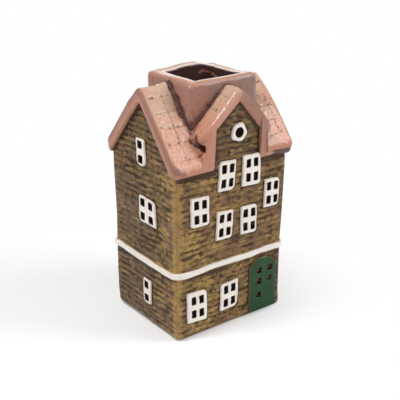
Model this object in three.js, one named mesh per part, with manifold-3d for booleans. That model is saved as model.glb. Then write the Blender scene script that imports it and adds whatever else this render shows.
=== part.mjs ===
// House candle holder: a slab-built pottery tealight house in glazed earthenware.
// Millimetres, +Z up. The origin is the middle of the underside, and the front wall faces -Y.
// Four walls stand on a floor slab, a cross-gabled roof sits on them, and a square collar with an
// open bore is scribed over the crossing of the roof. Windows, door and band are applied clay.

import * as THREE from 'three';
import { mergeVertices } from 'three/addons/utils/BufferGeometryUtils.js';
import Module from 'manifold-3d';

const wasm = await Module();
wasm.setup();

// House body
const HOUSE_WIDTH = 90;
const HOUSE_DEPTH = 73;
const WALL_THICKNESS = 6;
const FLOOR_THICKNESS = 6;
const CORNER_RADIUS = 4.5;
const FOOT_RADIUS = 4;
const EAVE_HEIGHT = 115;

// Brick courses, scored into the outside of the walls
const COURSE_HEIGHT = 4.2;
const SCORE_WIDTH = 1;
const SCORE_DEPTH = 0.5;

// Main roof, with its ridge along X: a slab of this vertical thickness rests on the outer edge of the walls
const RIDGE_HEIGHT = 168.5;
const RIDGE_OFFSET = -1.2;
const EAVE_OVERHANG = 4;
const VERGE_OVERHANG = 4;
const EAVE_UNDERCUT = 2.2;
const EAVE_ROUNDING = 1.9;
const ROOF_DROP = 11;
const RIDGE_ROUNDING = 2;
const VERGE_ROUNDING = 2.6;

// Dormer gable over the front wall, with its ridge along Y
const DORMER_CENTRE = 4;
const DORMER_OPENING = 40;
const DORMER_LEG = 6.5;
const DORMER_SLOPE = 1.06;
const DORMER_RIDGE_STEP = 2;
const DORMER_DROP = 8.5;
const DORMER_KNEE_ROUNDING = 3;
const DORMER_VERGE_BEVEL = 1.6;

// Square collar over the crossing
const COLLAR_CENTRE_X = 1.9;
const COLLAR_CENTRE_Y = -0.8;
const COLLAR_WIDTH = 54.8;
const COLLAR_DEPTH = 51.4;
const COLLAR_BORE_WIDTH = 35;
const COLLAR_BORE_DEPTH = 36;
const COLLAR_RISE = 4.5;
const COLLAR_SHOULDER = 7;
const COLLAR_FOOT_RADIUS = 5.5;
const COLLAR_RIM_RADIUS = 4;
const COLLAR_BORE_RADIUS = 2.5;
const COLLAR_CREST_SHARE = 0.68;
const COLLAR_LIP_DROP = 3.4;

// Applied clay: string course, window plaques and door
const BAND_BOTTOM = 46;
const BAND_HEIGHT = 5;
const BAND_PROUD = 1.2;
const PLAQUE_PROUD = 1.2;
const PLAQUE_ROUNDING = 1.7;
const WINDOW_WIDTH = 15.3;
const WINDOW_HEIGHT = 20.8;
const SIDE_WINDOW_WIDTH = 19;
const NARROW_WINDOW_WIDTH = 11.6;
const NARROW_WINDOW_HEIGHT = 18.6;
const PANE_WIDTH = 3.4;
const PANE_HEIGHT = 6;
const PANE_PITCH_ACROSS = 6.6;
const PANE_PITCH_UP = 9.8;
const PANE_SHIFT = 0.7;
const ROUND_WINDOW_RADIUS = 6.5;
const ROUND_WINDOW_HOLE = 3.3;
const DOOR_WIDTH = 25;
const DOOR_BOTTOM = 2;
const DOOR_SPRING = 35;
const DOOR_TOP = 41.6;
const DOOR_MARGIN = 4.4;
const DOOR_HOLE_WIDTH = 3.2;
const DOOR_HOLE_HEIGHT = 3.5;
const DOOR_HOLE_PITCH = 9.2;
const DOOR_HOLE_SHIFT = 1.6;
const DOOR_HOLE_DROPS = [9, 16.9, 27];

// Doorway in the back wall, for putting the tealight in
const DOORWAY_WIDTH = 48;
const DOORWAY_SPRING = 26;
const DOORWAY_TOP = 42.5;

// Where the windows stand: columns between margins, and rows as shares of their storey
const LEFT_WINDOW_MARGIN = 10;
const RIGHT_WINDOW_MARGIN = 3.6;
const COLUMN_COUNT = 4;
const UPPER_ROW = 0.605;
const LOWER_ROW = 0.375;
const GROUND_ROW = 0.5;
const ATTIC_ROW_BELOW_EAVE = 4.5;
const ATTIC_WINDOW_SPREAD = 19.8;
const ATTIC_WINDOW_SHIFT = 1;
const FIRST_GROUND_SHIFT = -1.6;
const SECOND_GROUND_SHIFT = 5.2;
const ROW_WANDER = 0.6;
const ROUND_WINDOW_RAISE = 1.4;
const ROUND_WINDOW_SHIFT = 0.9;
const SIDE_UPPER_ROW = 0.52;
const SIDE_UPPER_SHIFT = -5;
const SIDE_ATTIC_ABOVE_EAVE = 9.4;
const SIDE_ATTIC_SHIFT = 2.4;
const SIDE_GROUND_RAISE = 2.4;
const SIDE_GROUND_SHIFT = -3.2;

// Clearances between pieces that meet on a slant
const JOINT_GAP = 0.3;
const SLOPE_GAP = 0.45;
const CORNER_CLEARANCE = 1;

// Fineness of rounded forms, and how far cutting shapes reach past what they cut
const CORNER_STEPS = 4;
const CURVE_STEPS = 4;
const ROUND_STEPS = 24;
const REACH = 5;
const COVER = 0.05;
const SKY = 250;

// Worked out from the sizes above
const HALF_WIDTH = HOUSE_WIDTH / 2;
const HALF_DEPTH = HOUSE_DEPTH / 2;
const ROOF_HALF_WIDTH = HALF_WIDTH + VERGE_OVERHANG;
const ROOF_HALF_DEPTH = HALF_DEPTH + EAVE_OVERHANG;
const DORMER_RIDGE = RIDGE_HEIGHT - DORMER_RIDGE_STEP;
const DORMER_INNER_RIDGE = DORMER_RIDGE - DORMER_DROP;
const DORMER_INNER_HALF = DORMER_OPENING / 2;
const DORMER_OUTER_HALF = DORMER_INNER_HALF + DORMER_LEG;
const COLLAR_CREST = RIDGE_HEIGHT + COLLAR_RISE;
const BORE_FRONT = COLLAR_CENTRE_Y - COLLAR_BORE_DEPTH / 2;
const BAND_TOP = BAND_BOTTOM + BAND_HEIGHT;

// Each face of the house: the axis that it faces along, which way, how far out it lies and its half length
const FACES = {
  front: { axis: 'y', sign: -1, out: HALF_DEPTH, half: HALF_WIDTH },
  back: { axis: 'y', sign: 1, out: HALF_DEPTH, half: HALF_WIDTH },
  left: { axis: 'x', sign: -1, out: HALF_WIDTH, half: HALF_DEPTH },
  right: { axis: 'x', sign: 1, out: HALF_WIDTH, half: HALF_DEPTH },
};

// Glazes
function glaze(color, roughness) {
  return new THREE.MeshStandardMaterial({ color, roughness, metalness: 0 });
}

const GLAZES = {
  brick: () => glaze(0x7d6239, 0.3),
  base: () => glaze(0x8a6a3a, 0.35),
  roof: () => glaze(0xd69a80, 0.25),
  collar: () => glaze(0xab7f72, 0.22),
  white: () => glaze(0xe9e4de, 0.3),
  door: () => glaze(0x1f5c37, 0.25),
};

// Solids from three.js geometries, and back
function solidOf(geometry) {
  const bare = geometry.clone();
  bare.deleteAttribute('normal');
  bare.deleteAttribute('uv');
  const merged = mergeVertices(bare, 1e-4);
  const kept = [];
  const index = merged.index.array;
  for (let i = 0; i < index.length; i += 3) {
    const [a, b, c] = [index[i], index[i + 1], index[i + 2]];
    if (a !== b && b !== c && c !== a) kept.push(a, b, c);
  }
  const vertProperties = new Float32Array(merged.attributes.position.array);
  return new wasm.Manifold(new wasm.Mesh({ numProp: 3, vertProperties, triVerts: new Uint32Array(kept) }));
}

function meshOf(name, solid, material) {
  const { vertProperties, triVerts } = solid.getMesh();
  const geometry = new THREE.BufferGeometry();
  geometry.setAttribute('position', new THREE.BufferAttribute(new Float32Array(vertProperties), 3));
  geometry.setIndex(new THREE.BufferAttribute(new Uint32Array(triVerts), 1));
  geometry.computeVertexNormals();
  const mesh = new THREE.Mesh(geometry, material);
  mesh.name = name;
  return mesh;
}

// An outline extruded along an axis: (y, z) along x, (x, z) along y and (x, y) along z
const EXTRUDE_FRAMES = {
  x: new THREE.Matrix4().set(0, 0, 1, 0, 1, 0, 0, 0, 0, 1, 0, 0, 0, 0, 0, 1),
  y: new THREE.Matrix4().set(1, 0, 0, 0, 0, 0, -1, 0, 0, 1, 0, 0, 0, 0, 0, 1),
  z: new THREE.Matrix4(),
};

function prism(axis, shape, from, to, options = {}) {
  const depth = to - from;
  const geometry = new THREE.ExtrudeGeometry(shape, {
    depth,
    bevelEnabled: false,
    curveSegments: CURVE_STEPS,
    ...options,
  });
  geometry.translate(0, 0, axis === 'y' ? -to : from);
  geometry.applyMatrix4(EXTRUDE_FRAMES[axis]);
  return solidOf(geometry);
}

// A polygon whose corners may be rounded: [u, v] or [u, v, rounding], never past half of an edge
function outline(corners) {
  const shape = new THREE.Shape();
  const points = corners.map(([u, v]) => new THREE.Vector2(u, v));
  const count = points.length;
  points.forEach((corner, i) => {
    const before = points[(i + count - 1) % count];
    const after = points[(i + 1) % count];
    const limit = 0.48 * Math.min(corner.distanceTo(before), corner.distanceTo(after));
    const rounding = Math.min(corners[i][2] ?? 0, limit);
    const start = corner.clone().lerp(before, rounding / corner.distanceTo(before));
    const end = corner.clone().lerp(after, rounding / corner.distanceTo(after));
    if (i === 0) shape.moveTo(start.x, start.y);
    else shape.lineTo(start.x, start.y);
    if (rounding > 0) shape.quadraticCurveTo(corner.x, corner.y, end.x, end.y);
  });
  shape.closePath();
  return shape;
}

// The corners of a rectangle with round corners, as points that run anticlockwise
function roundedRectangle(width, depth, radius) {
  const points = [];
  const inner = [width / 2 - radius, depth / 2 - radius];
  const quadrants = [[1, 1], [-1, 1], [-1, -1], [1, -1]];
  quadrants.forEach(([sx, sy], corner) => {
    for (let step = 0; step <= CORNER_STEPS; step += 1) {
      const angle = (Math.PI / 2) * (corner + step / CORNER_STEPS);
      points.push(new THREE.Vector2(
        sx * inner[0] + radius * Math.cos(angle),
        sy * inner[1] + radius * Math.sin(angle),
      ));
    }
  });
  return points;
}

function roundedBlock(width, depth, radius, from, to) {
  return prism('z', new THREE.Shape(roundedRectangle(width, depth, radius)), from, to);
}

// A skin over rings of equal point count, either closed into a loop of rings or capped at both ends
function loft(rings, closed) {
  const size = rings[0].length;
  const positions = rings.flat().flatMap((p) => [p.x, p.y, p.z]);
  const index = [];
  const spans = closed ? rings.length : rings.length - 1;
  for (let r = 0; r < spans; r += 1) {
    const here = r * size;
    const next = ((r + 1) % rings.length) * size;
    for (let i = 0; i < size; i += 1) {
      const j = (i + 1) % size;
      index.push(here + i, here + j, next + j);
      index.push(here + i, next + j, next + i);
    }
  }
  if (!closed) {
    const last = (rings.length - 1) * size;
    for (let i = 1; i < size - 1; i += 1) {
      index.push(0, i + 1, i);
      index.push(last, last + i, last + i + 1);
    }
  }
  const geometry = new THREE.BufferGeometry();
  geometry.setAttribute('position', new THREE.Float32BufferAttribute(positions, 3));
  geometry.setIndex(index);
  return solidOf(geometry);
}

function ring(width, depth, radius, x, y, z) {
  return roundedRectangle(width, depth, radius).map((p) => new THREE.Vector3(p.x + x, p.y + y, z));
}

// An outline drawn on a face of the house, extruded from one depth to another, both outwards from the face
function onFace(face, shape, from, to) {
  const { axis, sign, out } = FACES[face];
  const ends = [sign * (out + from), sign * (out + to)];
  return prism(axis, shape, Math.min(...ends), Math.max(...ends));
}

// The share of the plan that belongs to one face, mitred at 45 degrees with its neighbours
function mitreBlock(face) {
  const { axis, sign, out, half } = FACES[face];
  const recess = JOINT_GAP / Math.SQRT2;
  const depth = 2 * WALL_THICKNESS;
  const corners = [
    [-half - REACH + recess, sign * (out + REACH)],
    [half + REACH - recess, sign * (out + REACH)],
    [half - depth - recess, sign * (out - depth)],
    [-half + depth + recess, sign * (out - depth)],
  ];
  const plan = axis === 'y' ? corners : corners.map(([along, across]) => [across, along]);
  return prism('z', outline(plan), -REACH, SKY);
}

// Height of the main roof's upper side at a depth y
function roofTop(y) {
  const wall = y < RIDGE_OFFSET ? -HALF_DEPTH : HALF_DEPTH;
  const fall = RIDGE_HEIGHT - EAVE_HEIGHT - ROOF_DROP;
  return RIDGE_HEIGHT - fall * (y - RIDGE_OFFSET) / (wall - RIDGE_OFFSET);
}

// Outline of the dormer gable, from below the eave up to a ridge height and out to a half width
function dormerOutline(halfWidth, ridge, rounding) {
  const knee = ridge - DORMER_SLOPE * halfWidth;
  const low = EAVE_HEIGHT - REACH;
  return outline([
    [DORMER_CENTRE - halfWidth, low],
    [DORMER_CENTRE + halfWidth, low],
    [DORMER_CENTRE + halfWidth, knee, rounding],
    [DORMER_CENTRE, ridge],
    [DORMER_CENTRE - halfWidth, knee, rounding],
  ]);
}

// The straight bore down through the collar and the roof below it
function boreBlock() {
  return roundedBlock(COLLAR_BORE_WIDTH, COLLAR_BORE_DEPTH, COLLAR_BORE_RADIUS, EAVE_HEIGHT, SKY)
    .translate([COLLAR_CENTRE_X, COLLAR_CENTRE_Y, 0]);
}

// The open space under the dormer roof, from in front of the eave back to the bore
function dormerVoid() {
  const shape = dormerOutline(DORMER_INNER_HALF, DORMER_INNER_RIDGE, 0);
  return prism('y', shape, -ROOF_HALF_DEPTH - REACH, BORE_FRONT);
}

// Everything below the outside of the main roof, raised by some height
function belowMainRoof(raised) {
  const far = ROOF_HALF_DEPTH + REACH;
  const shape = outline([
    [-far, -REACH],
    [far, -REACH],
    [far, roofTop(far) + raised],
    [RIDGE_OFFSET, RIDGE_HEIGHT + raised],
    [-far, roofTop(-far) + raised],
  ]);
  return prism('x', shape, -2 * ROOF_HALF_WIDTH, 2 * ROOF_HALF_WIDTH);
}

// Everything below the outside of the dormer roof, raised by a clearance
function belowDormer(clearance) {
  const shape = dormerOutline(DORMER_OUTER_HALF + JOINT_GAP, DORMER_RIDGE + clearance, 0);
  return prism('y', shape, -ROOF_HALF_DEPTH - REACH, BORE_FRONT + clearance);
}

// Window openings and their plaques
function frontColumn(column) {
  const first = -HALF_WIDTH + LEFT_WINDOW_MARGIN + WINDOW_WIDTH / 2;
  const last = HALF_WIDTH - RIGHT_WINDOW_MARGIN - WINDOW_WIDTH / 2;
  return first + (last - first) * column / (COLUMN_COUNT - 1);
}

function upperStorey(share) {
  return BAND_TOP + (EAVE_HEIGHT - BAND_TOP) * share;
}

const GROUND_FLOOR = BAND_BOTTOM * GROUND_ROW;
const ATTIC_ROW = EAVE_HEIGHT - ATTIC_ROW_BELOW_EAVE;
const ATTIC_MIDDLE = DORMER_CENTRE + ATTIC_WINDOW_SHIFT;
const DOOR_CENTRE = HALF_WIDTH - DOOR_MARGIN - DOOR_WIDTH / 2;

// Each window: its middle, how far its top leans and its right side rises, and its panes across and up
function frontWindow(name, u, v, lean, tilt, extra = 0) {
  const size = { width: WINDOW_WIDTH + extra / 2, height: WINDOW_HEIGHT + extra };
  return { name: `front_window_${name}`, face: 'front', u, v, ...size, lean, tilt, across: 2, up: 2 };
}

function narrowWindow(name, face, u, v, lean) {
  const size = { width: NARROW_WINDOW_WIDTH, height: NARROW_WINDOW_HEIGHT };
  return { name, face, u, v, ...size, lean, tilt: 0, across: 1, up: 2 };
}

function squareWindow(name, face, u, v, lean, tilt) {
  const size = { width: SIDE_WINDOW_WIDTH, height: NARROW_WINDOW_HEIGHT };
  return { name, face, u, v, ...size, lean, tilt, across: 2, up: 2 };
}

function sideWindows(face) {
  const attic = [RIDGE_OFFSET + SIDE_ATTIC_SHIFT, EAVE_HEIGHT + SIDE_ATTIC_ABOVE_EAVE];
  return [
    narrowWindow(`${face}_window_attic`, face, ...attic, 0.4),
    squareWindow(`${face}_window_upper`, face, SIDE_UPPER_SHIFT, upperStorey(SIDE_UPPER_ROW), -0.4, 0.5),
    narrowWindow(`${face}_window_ground`, face, SIDE_GROUND_SHIFT, GROUND_FLOOR + SIDE_GROUND_RAISE, -0.3),
  ];
}

const ATTIC_LEFT = ATTIC_MIDDLE - ATTIC_WINDOW_SPREAD / 2;
const ATTIC_RIGHT = ATTIC_MIDDLE + ATTIC_WINDOW_SPREAD / 2;
const OUTER_ROW = upperStorey(UPPER_ROW);
const INNER_ROW = upperStorey(LOWER_ROW);

const WINDOWS = [
  frontWindow('upper_1', frontColumn(0), OUTER_ROW, -0.6, -0.8),
  frontWindow('upper_2', frontColumn(1), INNER_ROW, 0.7, -0.9),
  frontWindow('upper_3', frontColumn(2), INNER_ROW, -0.6, -0.8),
  frontWindow('upper_4', frontColumn(3), OUTER_ROW + ROW_WANDER, 0, -1),
  frontWindow('attic_1', ATTIC_LEFT, ATTIC_ROW, 0.7, -0.5),
  frontWindow('attic_2', ATTIC_RIGHT, ATTIC_ROW + ROW_WANDER, 0.1, -0.6, 1),
  frontWindow('ground_1', frontColumn(0) + FIRST_GROUND_SHIFT, GROUND_FLOOR, -0.5, -0.9, 2),
  frontWindow('ground_2', frontColumn(1) + SECOND_GROUND_SHIFT, GROUND_FLOOR, 0.3, 0.9),
  ...sideWindows('left'),
  ...sideWindows('right'),
];

const ROUND_WINDOW = {
  name: 'round_window',
  u: DORMER_CENTRE + ROUND_WINDOW_SHIFT,
  v: (EAVE_HEIGHT + DORMER_INNER_RIDGE) / 2 + ROUND_WINDOW_RAISE,
};

const UPRIGHT = { width: 1, height: 1, lean: 0, tilt: 0 };

// A hand-cut quadrilateral about a middle point, leaning and tilting with its window
function leaningBox(window, du, dv, width, height, rounding) {
  const corners = [[-1, -1], [1, -1], [1, 1], [-1, 1]];
  return outline(corners.map(([su, sv]) => {
    const across = du + su * width / 2;
    const up = dv + sv * height / 2;
    const u = window.u + across + window.lean * up / window.height;
    const v = window.v + up + window.tilt * across / window.width;
    return [u, v, rounding];
  }));
}

function paneCutters(window) {
  const cutters = [];
  const steps = (count, pitch) => Array.from({ length: count }, (_, i) => (i - (count - 1) / 2) * pitch);
  for (const across of steps(window.across, PANE_PITCH_ACROSS)) {
    for (const up of steps(window.up, PANE_PITCH_UP)) {
      const shift = window.across > 1 ? PANE_SHIFT : 0;
      const shape = leaningBox(window, across + shift, up + shift / 2, PANE_WIDTH, PANE_HEIGHT, 0);
      cutters.push(onFace(window.face, shape, -WALL_THICKNESS - REACH, PLAQUE_PROUD + REACH));
    }
  }
  return cutters;
}

function disc(radius) {
  const shape = new THREE.Shape();
  shape.absarc(ROUND_WINDOW.u, ROUND_WINDOW.v, radius, 0, 2 * Math.PI);
  return shape;
}

function roundCutter() {
  const geometry = new THREE.CylinderGeometry(
    ROUND_WINDOW_HOLE,
    ROUND_WINDOW_HOLE,
    WALL_THICKNESS + 2 * REACH,
    ROUND_STEPS,
  );
  geometry.translate(ROUND_WINDOW.u, -HALF_DEPTH + WALL_THICKNESS / 2, ROUND_WINDOW.v);
  return solidOf(geometry);
}

function windowPlaque(window) {
  const shape = leaningBox(window, 0, 0, window.width, window.height, PLAQUE_ROUNDING);
  const plaque = onFace(window.face, shape, 0, PLAQUE_PROUD);
  return paneCutters(window).reduce((left, cutter) => left.subtract(cutter), plaque);
}

function roundPlaque() {
  const shape = disc(ROUND_WINDOW_RADIUS);
  const plaque = prism('y', shape, -HALF_DEPTH - PLAQUE_PROUD, -HALF_DEPTH, { curveSegments: ROUND_STEPS });
  return plaque.subtract(roundCutter());
}

// An opening or panel with upright sides and a low arched head
function archedOutline(centre, width, bottom, spring, top) {
  const shape = new THREE.Shape();
  shape.moveTo(centre - width / 2, bottom);
  shape.lineTo(centre + width / 2, bottom);
  shape.lineTo(centre + width / 2, spring);
  shape.absellipse(centre, spring, width / 2, top - spring, 0, Math.PI, false, 0);
  shape.closePath();
  return shape;
}

function frontDoor() {
  const shape = archedOutline(DOOR_CENTRE, DOOR_WIDTH, DOOR_BOTTOM, DOOR_SPRING, DOOR_TOP);
  const panel = prism('y', shape, -HALF_DEPTH - PLAQUE_PROUD, -HALF_DEPTH, { curveSegments: ROUND_STEPS });
  const middle = DOOR_CENTRE + DOOR_HOLE_SHIFT;
  const [high, half, low] = DOOR_HOLE_DROPS.map((drop) => DOOR_TOP - drop);
  const places = [[-1, high], [1, high], [-1, half], [1, half], [-1, low]];
  return places.reduce((left, [side, up]) => {
    const place = { u: middle + side * DOOR_HOLE_PITCH / 2, v: up, ...UPRIGHT };
    const hole = leaningBox(place, 0, 0, DOOR_HOLE_WIDTH, DOOR_HOLE_HEIGHT, 0);
    return left.subtract(onFace('front', hole, -REACH, PLAQUE_PROUD + REACH));
  }, panel);
}

// A block behind one face whose outside is scored with a joint under each course, except behind the band
function coursedBlock(face) {
  const { axis, sign, out, half } = FACES[face];
  const flank = (SCORE_WIDTH / 2) * (1 + COVER / SCORE_DEPTH);
  const section = [[out - 2 * WALL_THICKNESS, -REACH], [out + COVER, -REACH]];
  for (let z = FLOOR_THICKNESS + COURSE_HEIGHT; z < RIDGE_HEIGHT; z += COURSE_HEIGHT) {
    if (z > BAND_BOTTOM - SCORE_WIDTH && z < BAND_TOP + SCORE_WIDTH) continue;
    section.push([out + COVER, z - flank], [out - SCORE_DEPTH, z], [out + COVER, z + flank]);
  }
  section.push([out + COVER, SKY], [out - 2 * WALL_THICKNESS, SKY]);
  const shape = outline(section.map(([across, z]) => [sign * across, z]));
  return prism(axis === 'y' ? 'x' : 'y', shape, -half - REACH, half + REACH);
}

// A wall: as high as an outline allows, scored, mitred at the corners and pierced by its windows
function wallOf(face, height) {
  const { half } = FACES[face];
  const sheet = outline([
    [-half - REACH, -REACH],
    [half + REACH, -REACH],
    [half + REACH, RIDGE_HEIGHT],
    [-half - REACH, RIDGE_HEIGHT],
  ]);
  const wall = onFace(face, sheet, -WALL_THICKNESS, REACH)
    .intersect(roundedBlock(HOUSE_WIDTH, HOUSE_DEPTH, CORNER_RADIUS, FLOOR_THICKNESS, SKY))
    .intersect(mitreBlock(face))
    .intersect(coursedBlock(face))
    .intersect(height);
  const panes = WINDOWS.filter((window) => window.face === face).flatMap(paneCutters);
  return panes.reduce((left, cutter) => left.subtract(cutter), wall);
}

// The walls end under the main roof, and the front wall also runs up into the dormer gable
const UNDER_MAIN_ROOF = -ROOF_DROP - SLOPE_GAP;

function frontWall() {
  const gable = dormerOutline(DORMER_INNER_HALF - JOINT_GAP, DORMER_INNER_RIDGE - SLOPE_GAP, 0);
  const height = prism('y', gable, -HALF_DEPTH - REACH, 0).add(belowMainRoof(UNDER_MAIN_ROOF));
  return wallOf('front', height).subtract(roundCutter());
}

function backWall() {
  const doorway = archedOutline(0, DOORWAY_WIDTH, FLOOR_THICKNESS - REACH, DOORWAY_SPRING, DOORWAY_TOP);
  const cutter = prism('y', doorway, HALF_DEPTH - WALL_THICKNESS - REACH, HALF_DEPTH + REACH, {
    curveSegments: ROUND_STEPS,
  });
  return wallOf('back', belowMainRoof(UNDER_MAIN_ROOF)).subtract(cutter);
}

function gableWall(face) {
  return wallOf(face, belowMainRoof(UNDER_MAIN_ROOF));
}

// The floor slab carries the walls, and its lower edge is rounded like the foot of the pot
function floorSlab() {
  const rings = [];
  for (let step = 0; step <= CURVE_STEPS; step += 1) {
    const angle = (Math.PI / 2) * (step / CURVE_STEPS);
    const inset = FOOT_RADIUS * (1 - Math.sin(angle));
    const z = FOOT_RADIUS * (1 - Math.cos(angle));
    rings.push(ring(HOUSE_WIDTH - 2 * inset, HOUSE_DEPTH - 2 * inset, CORNER_RADIUS - inset, 0, 0, z));
  }
  rings.push(ring(HOUSE_WIDTH, HOUSE_DEPTH, CORNER_RADIUS, 0, 0, FLOOR_THICKNESS));
  return loft(rings, false);
}

// Main roof: one chevron section along X, split at the ridge, with its verges rounded slope by slope
function roofSection() {
  const lip = [ROOF_HALF_DEPTH, EAVE_HEIGHT + EAVE_UNDERCUT, EAVE_ROUNDING];
  return outline([
    [-lip[0], lip[1], lip[2]],
    [-HALF_DEPTH, EAVE_HEIGHT],
    [RIDGE_OFFSET, RIDGE_HEIGHT - ROOF_DROP],
    [HALF_DEPTH, EAVE_HEIGHT],
    lip,
    [ROOF_HALF_DEPTH, roofTop(ROOF_HALF_DEPTH), EAVE_ROUNDING],
    [RIDGE_OFFSET, RIDGE_HEIGHT, RIDGE_ROUNDING],
    [-ROOF_HALF_DEPTH, roofTop(-ROOF_HALF_DEPTH), EAVE_ROUNDING],
  ]);
}

function slopeBlock(side) {
  const run = HALF_DEPTH - side * RIDGE_OFFSET;
  const pitch = Math.atan2(RIDGE_HEIGHT - roofTop(side * HALF_DEPTH), run);
  const section = outline([
    [-ROOF_HALF_WIDTH, -2 * ROOF_DROP],
    [ROOF_HALF_WIDTH, -2 * ROOF_DROP],
    [ROOF_HALF_WIDTH, COVER, VERGE_ROUNDING],
    [-ROOF_HALF_WIDTH, COVER, VERGE_ROUNDING],
  ]);
  const across = new THREE.Vector3(1, 0, 0);
  const normal = new THREE.Vector3(0, side * Math.sin(pitch), Math.cos(pitch));
  const along = new THREE.Vector3().crossVectors(across, normal);
  const length = 4 * ROOF_HALF_DEPTH;
  const geometry = new THREE.ExtrudeGeometry(section, {
    depth: length,
    bevelEnabled: false,
    curveSegments: CURVE_STEPS,
  });
  geometry.translate(0, 0, -length / 2);
  geometry.applyMatrix4(new THREE.Matrix4().makeBasis(across, normal, along));
  geometry.translate(0, RIDGE_OFFSET, RIDGE_HEIGHT);
  return solidOf(geometry);
}

function halfSpace(axis, from, to) {
  const size = { x: [-SKY, SKY], y: [-SKY, SKY], z: [-SKY, SKY] };
  size[axis] = [from, to];
  const corners = [
    [size.x[0], size.y[0]],
    [size.x[1], size.y[0]],
    [size.x[1], size.y[1]],
    [size.x[0], size.y[1]],
  ];
  return prism('z', outline(corners), size.z[0], size.z[1]);
}

function roofSlope(side) {
  const chevron = prism('x', roofSection(), -ROOF_HALF_WIDTH - REACH, ROOF_HALF_WIDTH + REACH);
  const half = side < 0 ? halfSpace('y', -SKY, RIDGE_OFFSET) : halfSpace('y', RIDGE_OFFSET, SKY);
  return chevron.intersect(half).intersect(slopeBlock(side)).subtract(boreBlock());
}

function frontRoof(side) {
  const half = side < 0 ? halfSpace('x', -SKY, DORMER_CENTRE) : halfSpace('x', DORMER_CENTRE, SKY);
  return roofSlope(-1).subtract(dormerVoid()).intersect(half);
}

// Dormer roof: an upturned U along Y with legs that stand on the main roof, split at its ridge
function dormerRoof(side) {
  const shape = dormerOutline(DORMER_OUTER_HALF, DORMER_RIDGE, DORMER_KNEE_ROUNDING);
  const front = -ROOF_HALF_DEPTH;
  const arch = prism('y', shape, front + DORMER_VERGE_BEVEL, 0, {
    bevelEnabled: true,
    bevelThickness: DORMER_VERGE_BEVEL,
    bevelSize: DORMER_VERGE_BEVEL,
    bevelOffset: -DORMER_VERGE_BEVEL,
    bevelSegments: 2,
  });
  const half = side < 0 ? halfSpace('x', -SKY, DORMER_CENTRE) : halfSpace('x', DORMER_CENTRE, SKY);
  return arch
    .intersect(halfSpace('y', -SKY, BORE_FRONT))
    .subtract(dormerVoid())
    .subtract(belowMainRoof(SLOPE_GAP))
    .intersect(half);
}

// Collar: a square tube whose rim rolls over to the bore, scribed to sit on the four roof slopes
function chimneyCollar() {
  const { lerp } = THREE.MathUtils;
  const place = (inward, radius, z) => ring(
    lerp(COLLAR_WIDTH, COLLAR_BORE_WIDTH, inward),
    lerp(COLLAR_DEPTH, COLLAR_BORE_DEPTH, inward),
    radius,
    COLLAR_CENTRE_X,
    COLLAR_CENTRE_Y,
    z,
  );
  const rings = [place(0, COLLAR_FOOT_RADIUS, EAVE_HEIGHT)];
  const outerSteps = 2 * CURVE_STEPS;
  for (let step = 0; step <= outerSteps; step += 1) {
    const angle = (Math.PI / 2) * (step / outerSteps);
    const inward = COLLAR_CREST_SHARE * (1 - Math.cos(angle));
    const radius = lerp(COLLAR_FOOT_RADIUS, COLLAR_RIM_RADIUS, step / outerSteps);
    rings.push(place(inward, radius, COLLAR_CREST - COLLAR_SHOULDER * (1 - Math.sin(angle))));
  }
  for (let step = 1; step <= CURVE_STEPS; step += 1) {
    const angle = (Math.PI / 2) * (step / CURVE_STEPS);
    const inward = COLLAR_CREST_SHARE + (1 - COLLAR_CREST_SHARE) * Math.sin(angle);
    const radius = lerp(COLLAR_RIM_RADIUS, COLLAR_BORE_RADIUS, step / CURVE_STEPS);
    rings.push(place(inward, radius, COLLAR_CREST - COLLAR_LIP_DROP * (1 - Math.cos(angle))));
  }
  rings.push(place(1, COLLAR_BORE_RADIUS, EAVE_HEIGHT));
  return loft(rings, true).subtract(belowMainRoof(SLOPE_GAP)).subtract(belowDormer(SLOPE_GAP));
}

// String course: a ring round the house, mitred into one strip on each face
function stringCourse(face) {
  const wide = [HOUSE_WIDTH + 2 * BAND_PROUD, HOUSE_DEPTH + 2 * BAND_PROUD, CORNER_RADIUS + BAND_PROUD];
  const outer = roundedBlock(...wide, BAND_BOTTOM, BAND_TOP);
  const inner = roundedBlock(HOUSE_WIDTH, HOUSE_DEPTH, CORNER_RADIUS - CORNER_CLEARANCE, 0, SKY);
  return outer.subtract(inner).intersect(mitreBlock(face));
}

// The house, piece by piece
const house = new THREE.Group();
const add = (name, solid, finish) => house.add(meshOf(name, solid, GLAZES[finish]()));

add('floor_slab', floorSlab(), 'base');
add('front_wall', frontWall(), 'brick');
add('back_wall', backWall(), 'brick');
add('left_wall', gableWall('left'), 'brick');
add('right_wall', gableWall('right'), 'brick');
add('roof_front_left', frontRoof(-1), 'roof');
add('roof_front_right', frontRoof(1), 'roof');
add('roof_back', roofSlope(1), 'roof');
add('dormer_roof_left', dormerRoof(-1), 'roof');
add('dormer_roof_right', dormerRoof(1), 'roof');
add('chimney_collar', chimneyCollar(), 'collar');
for (const face of Object.keys(FACES)) add(`string_course_${face}`, stringCourse(face), 'white');
for (const window of WINDOWS) add(window.name, windowPlaque(window), 'white');
add(ROUND_WINDOW.name, roundPlaque(), 'white');
add('front_door', frontDoor(), 'door');

export default house;
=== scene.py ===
"""House candle holder: a glazed pottery tealight house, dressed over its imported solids.

Every piece of clay is a closed shell over a grid, worked out with numpy in millimetres in the model's own
frame: origin in the middle of the underside, +Z up, front wall towards -Y. A wall point is found from the
distance s along its face, which grows to the right for someone who looks at that face from outside, and
from the height z.
"""

import math

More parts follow.
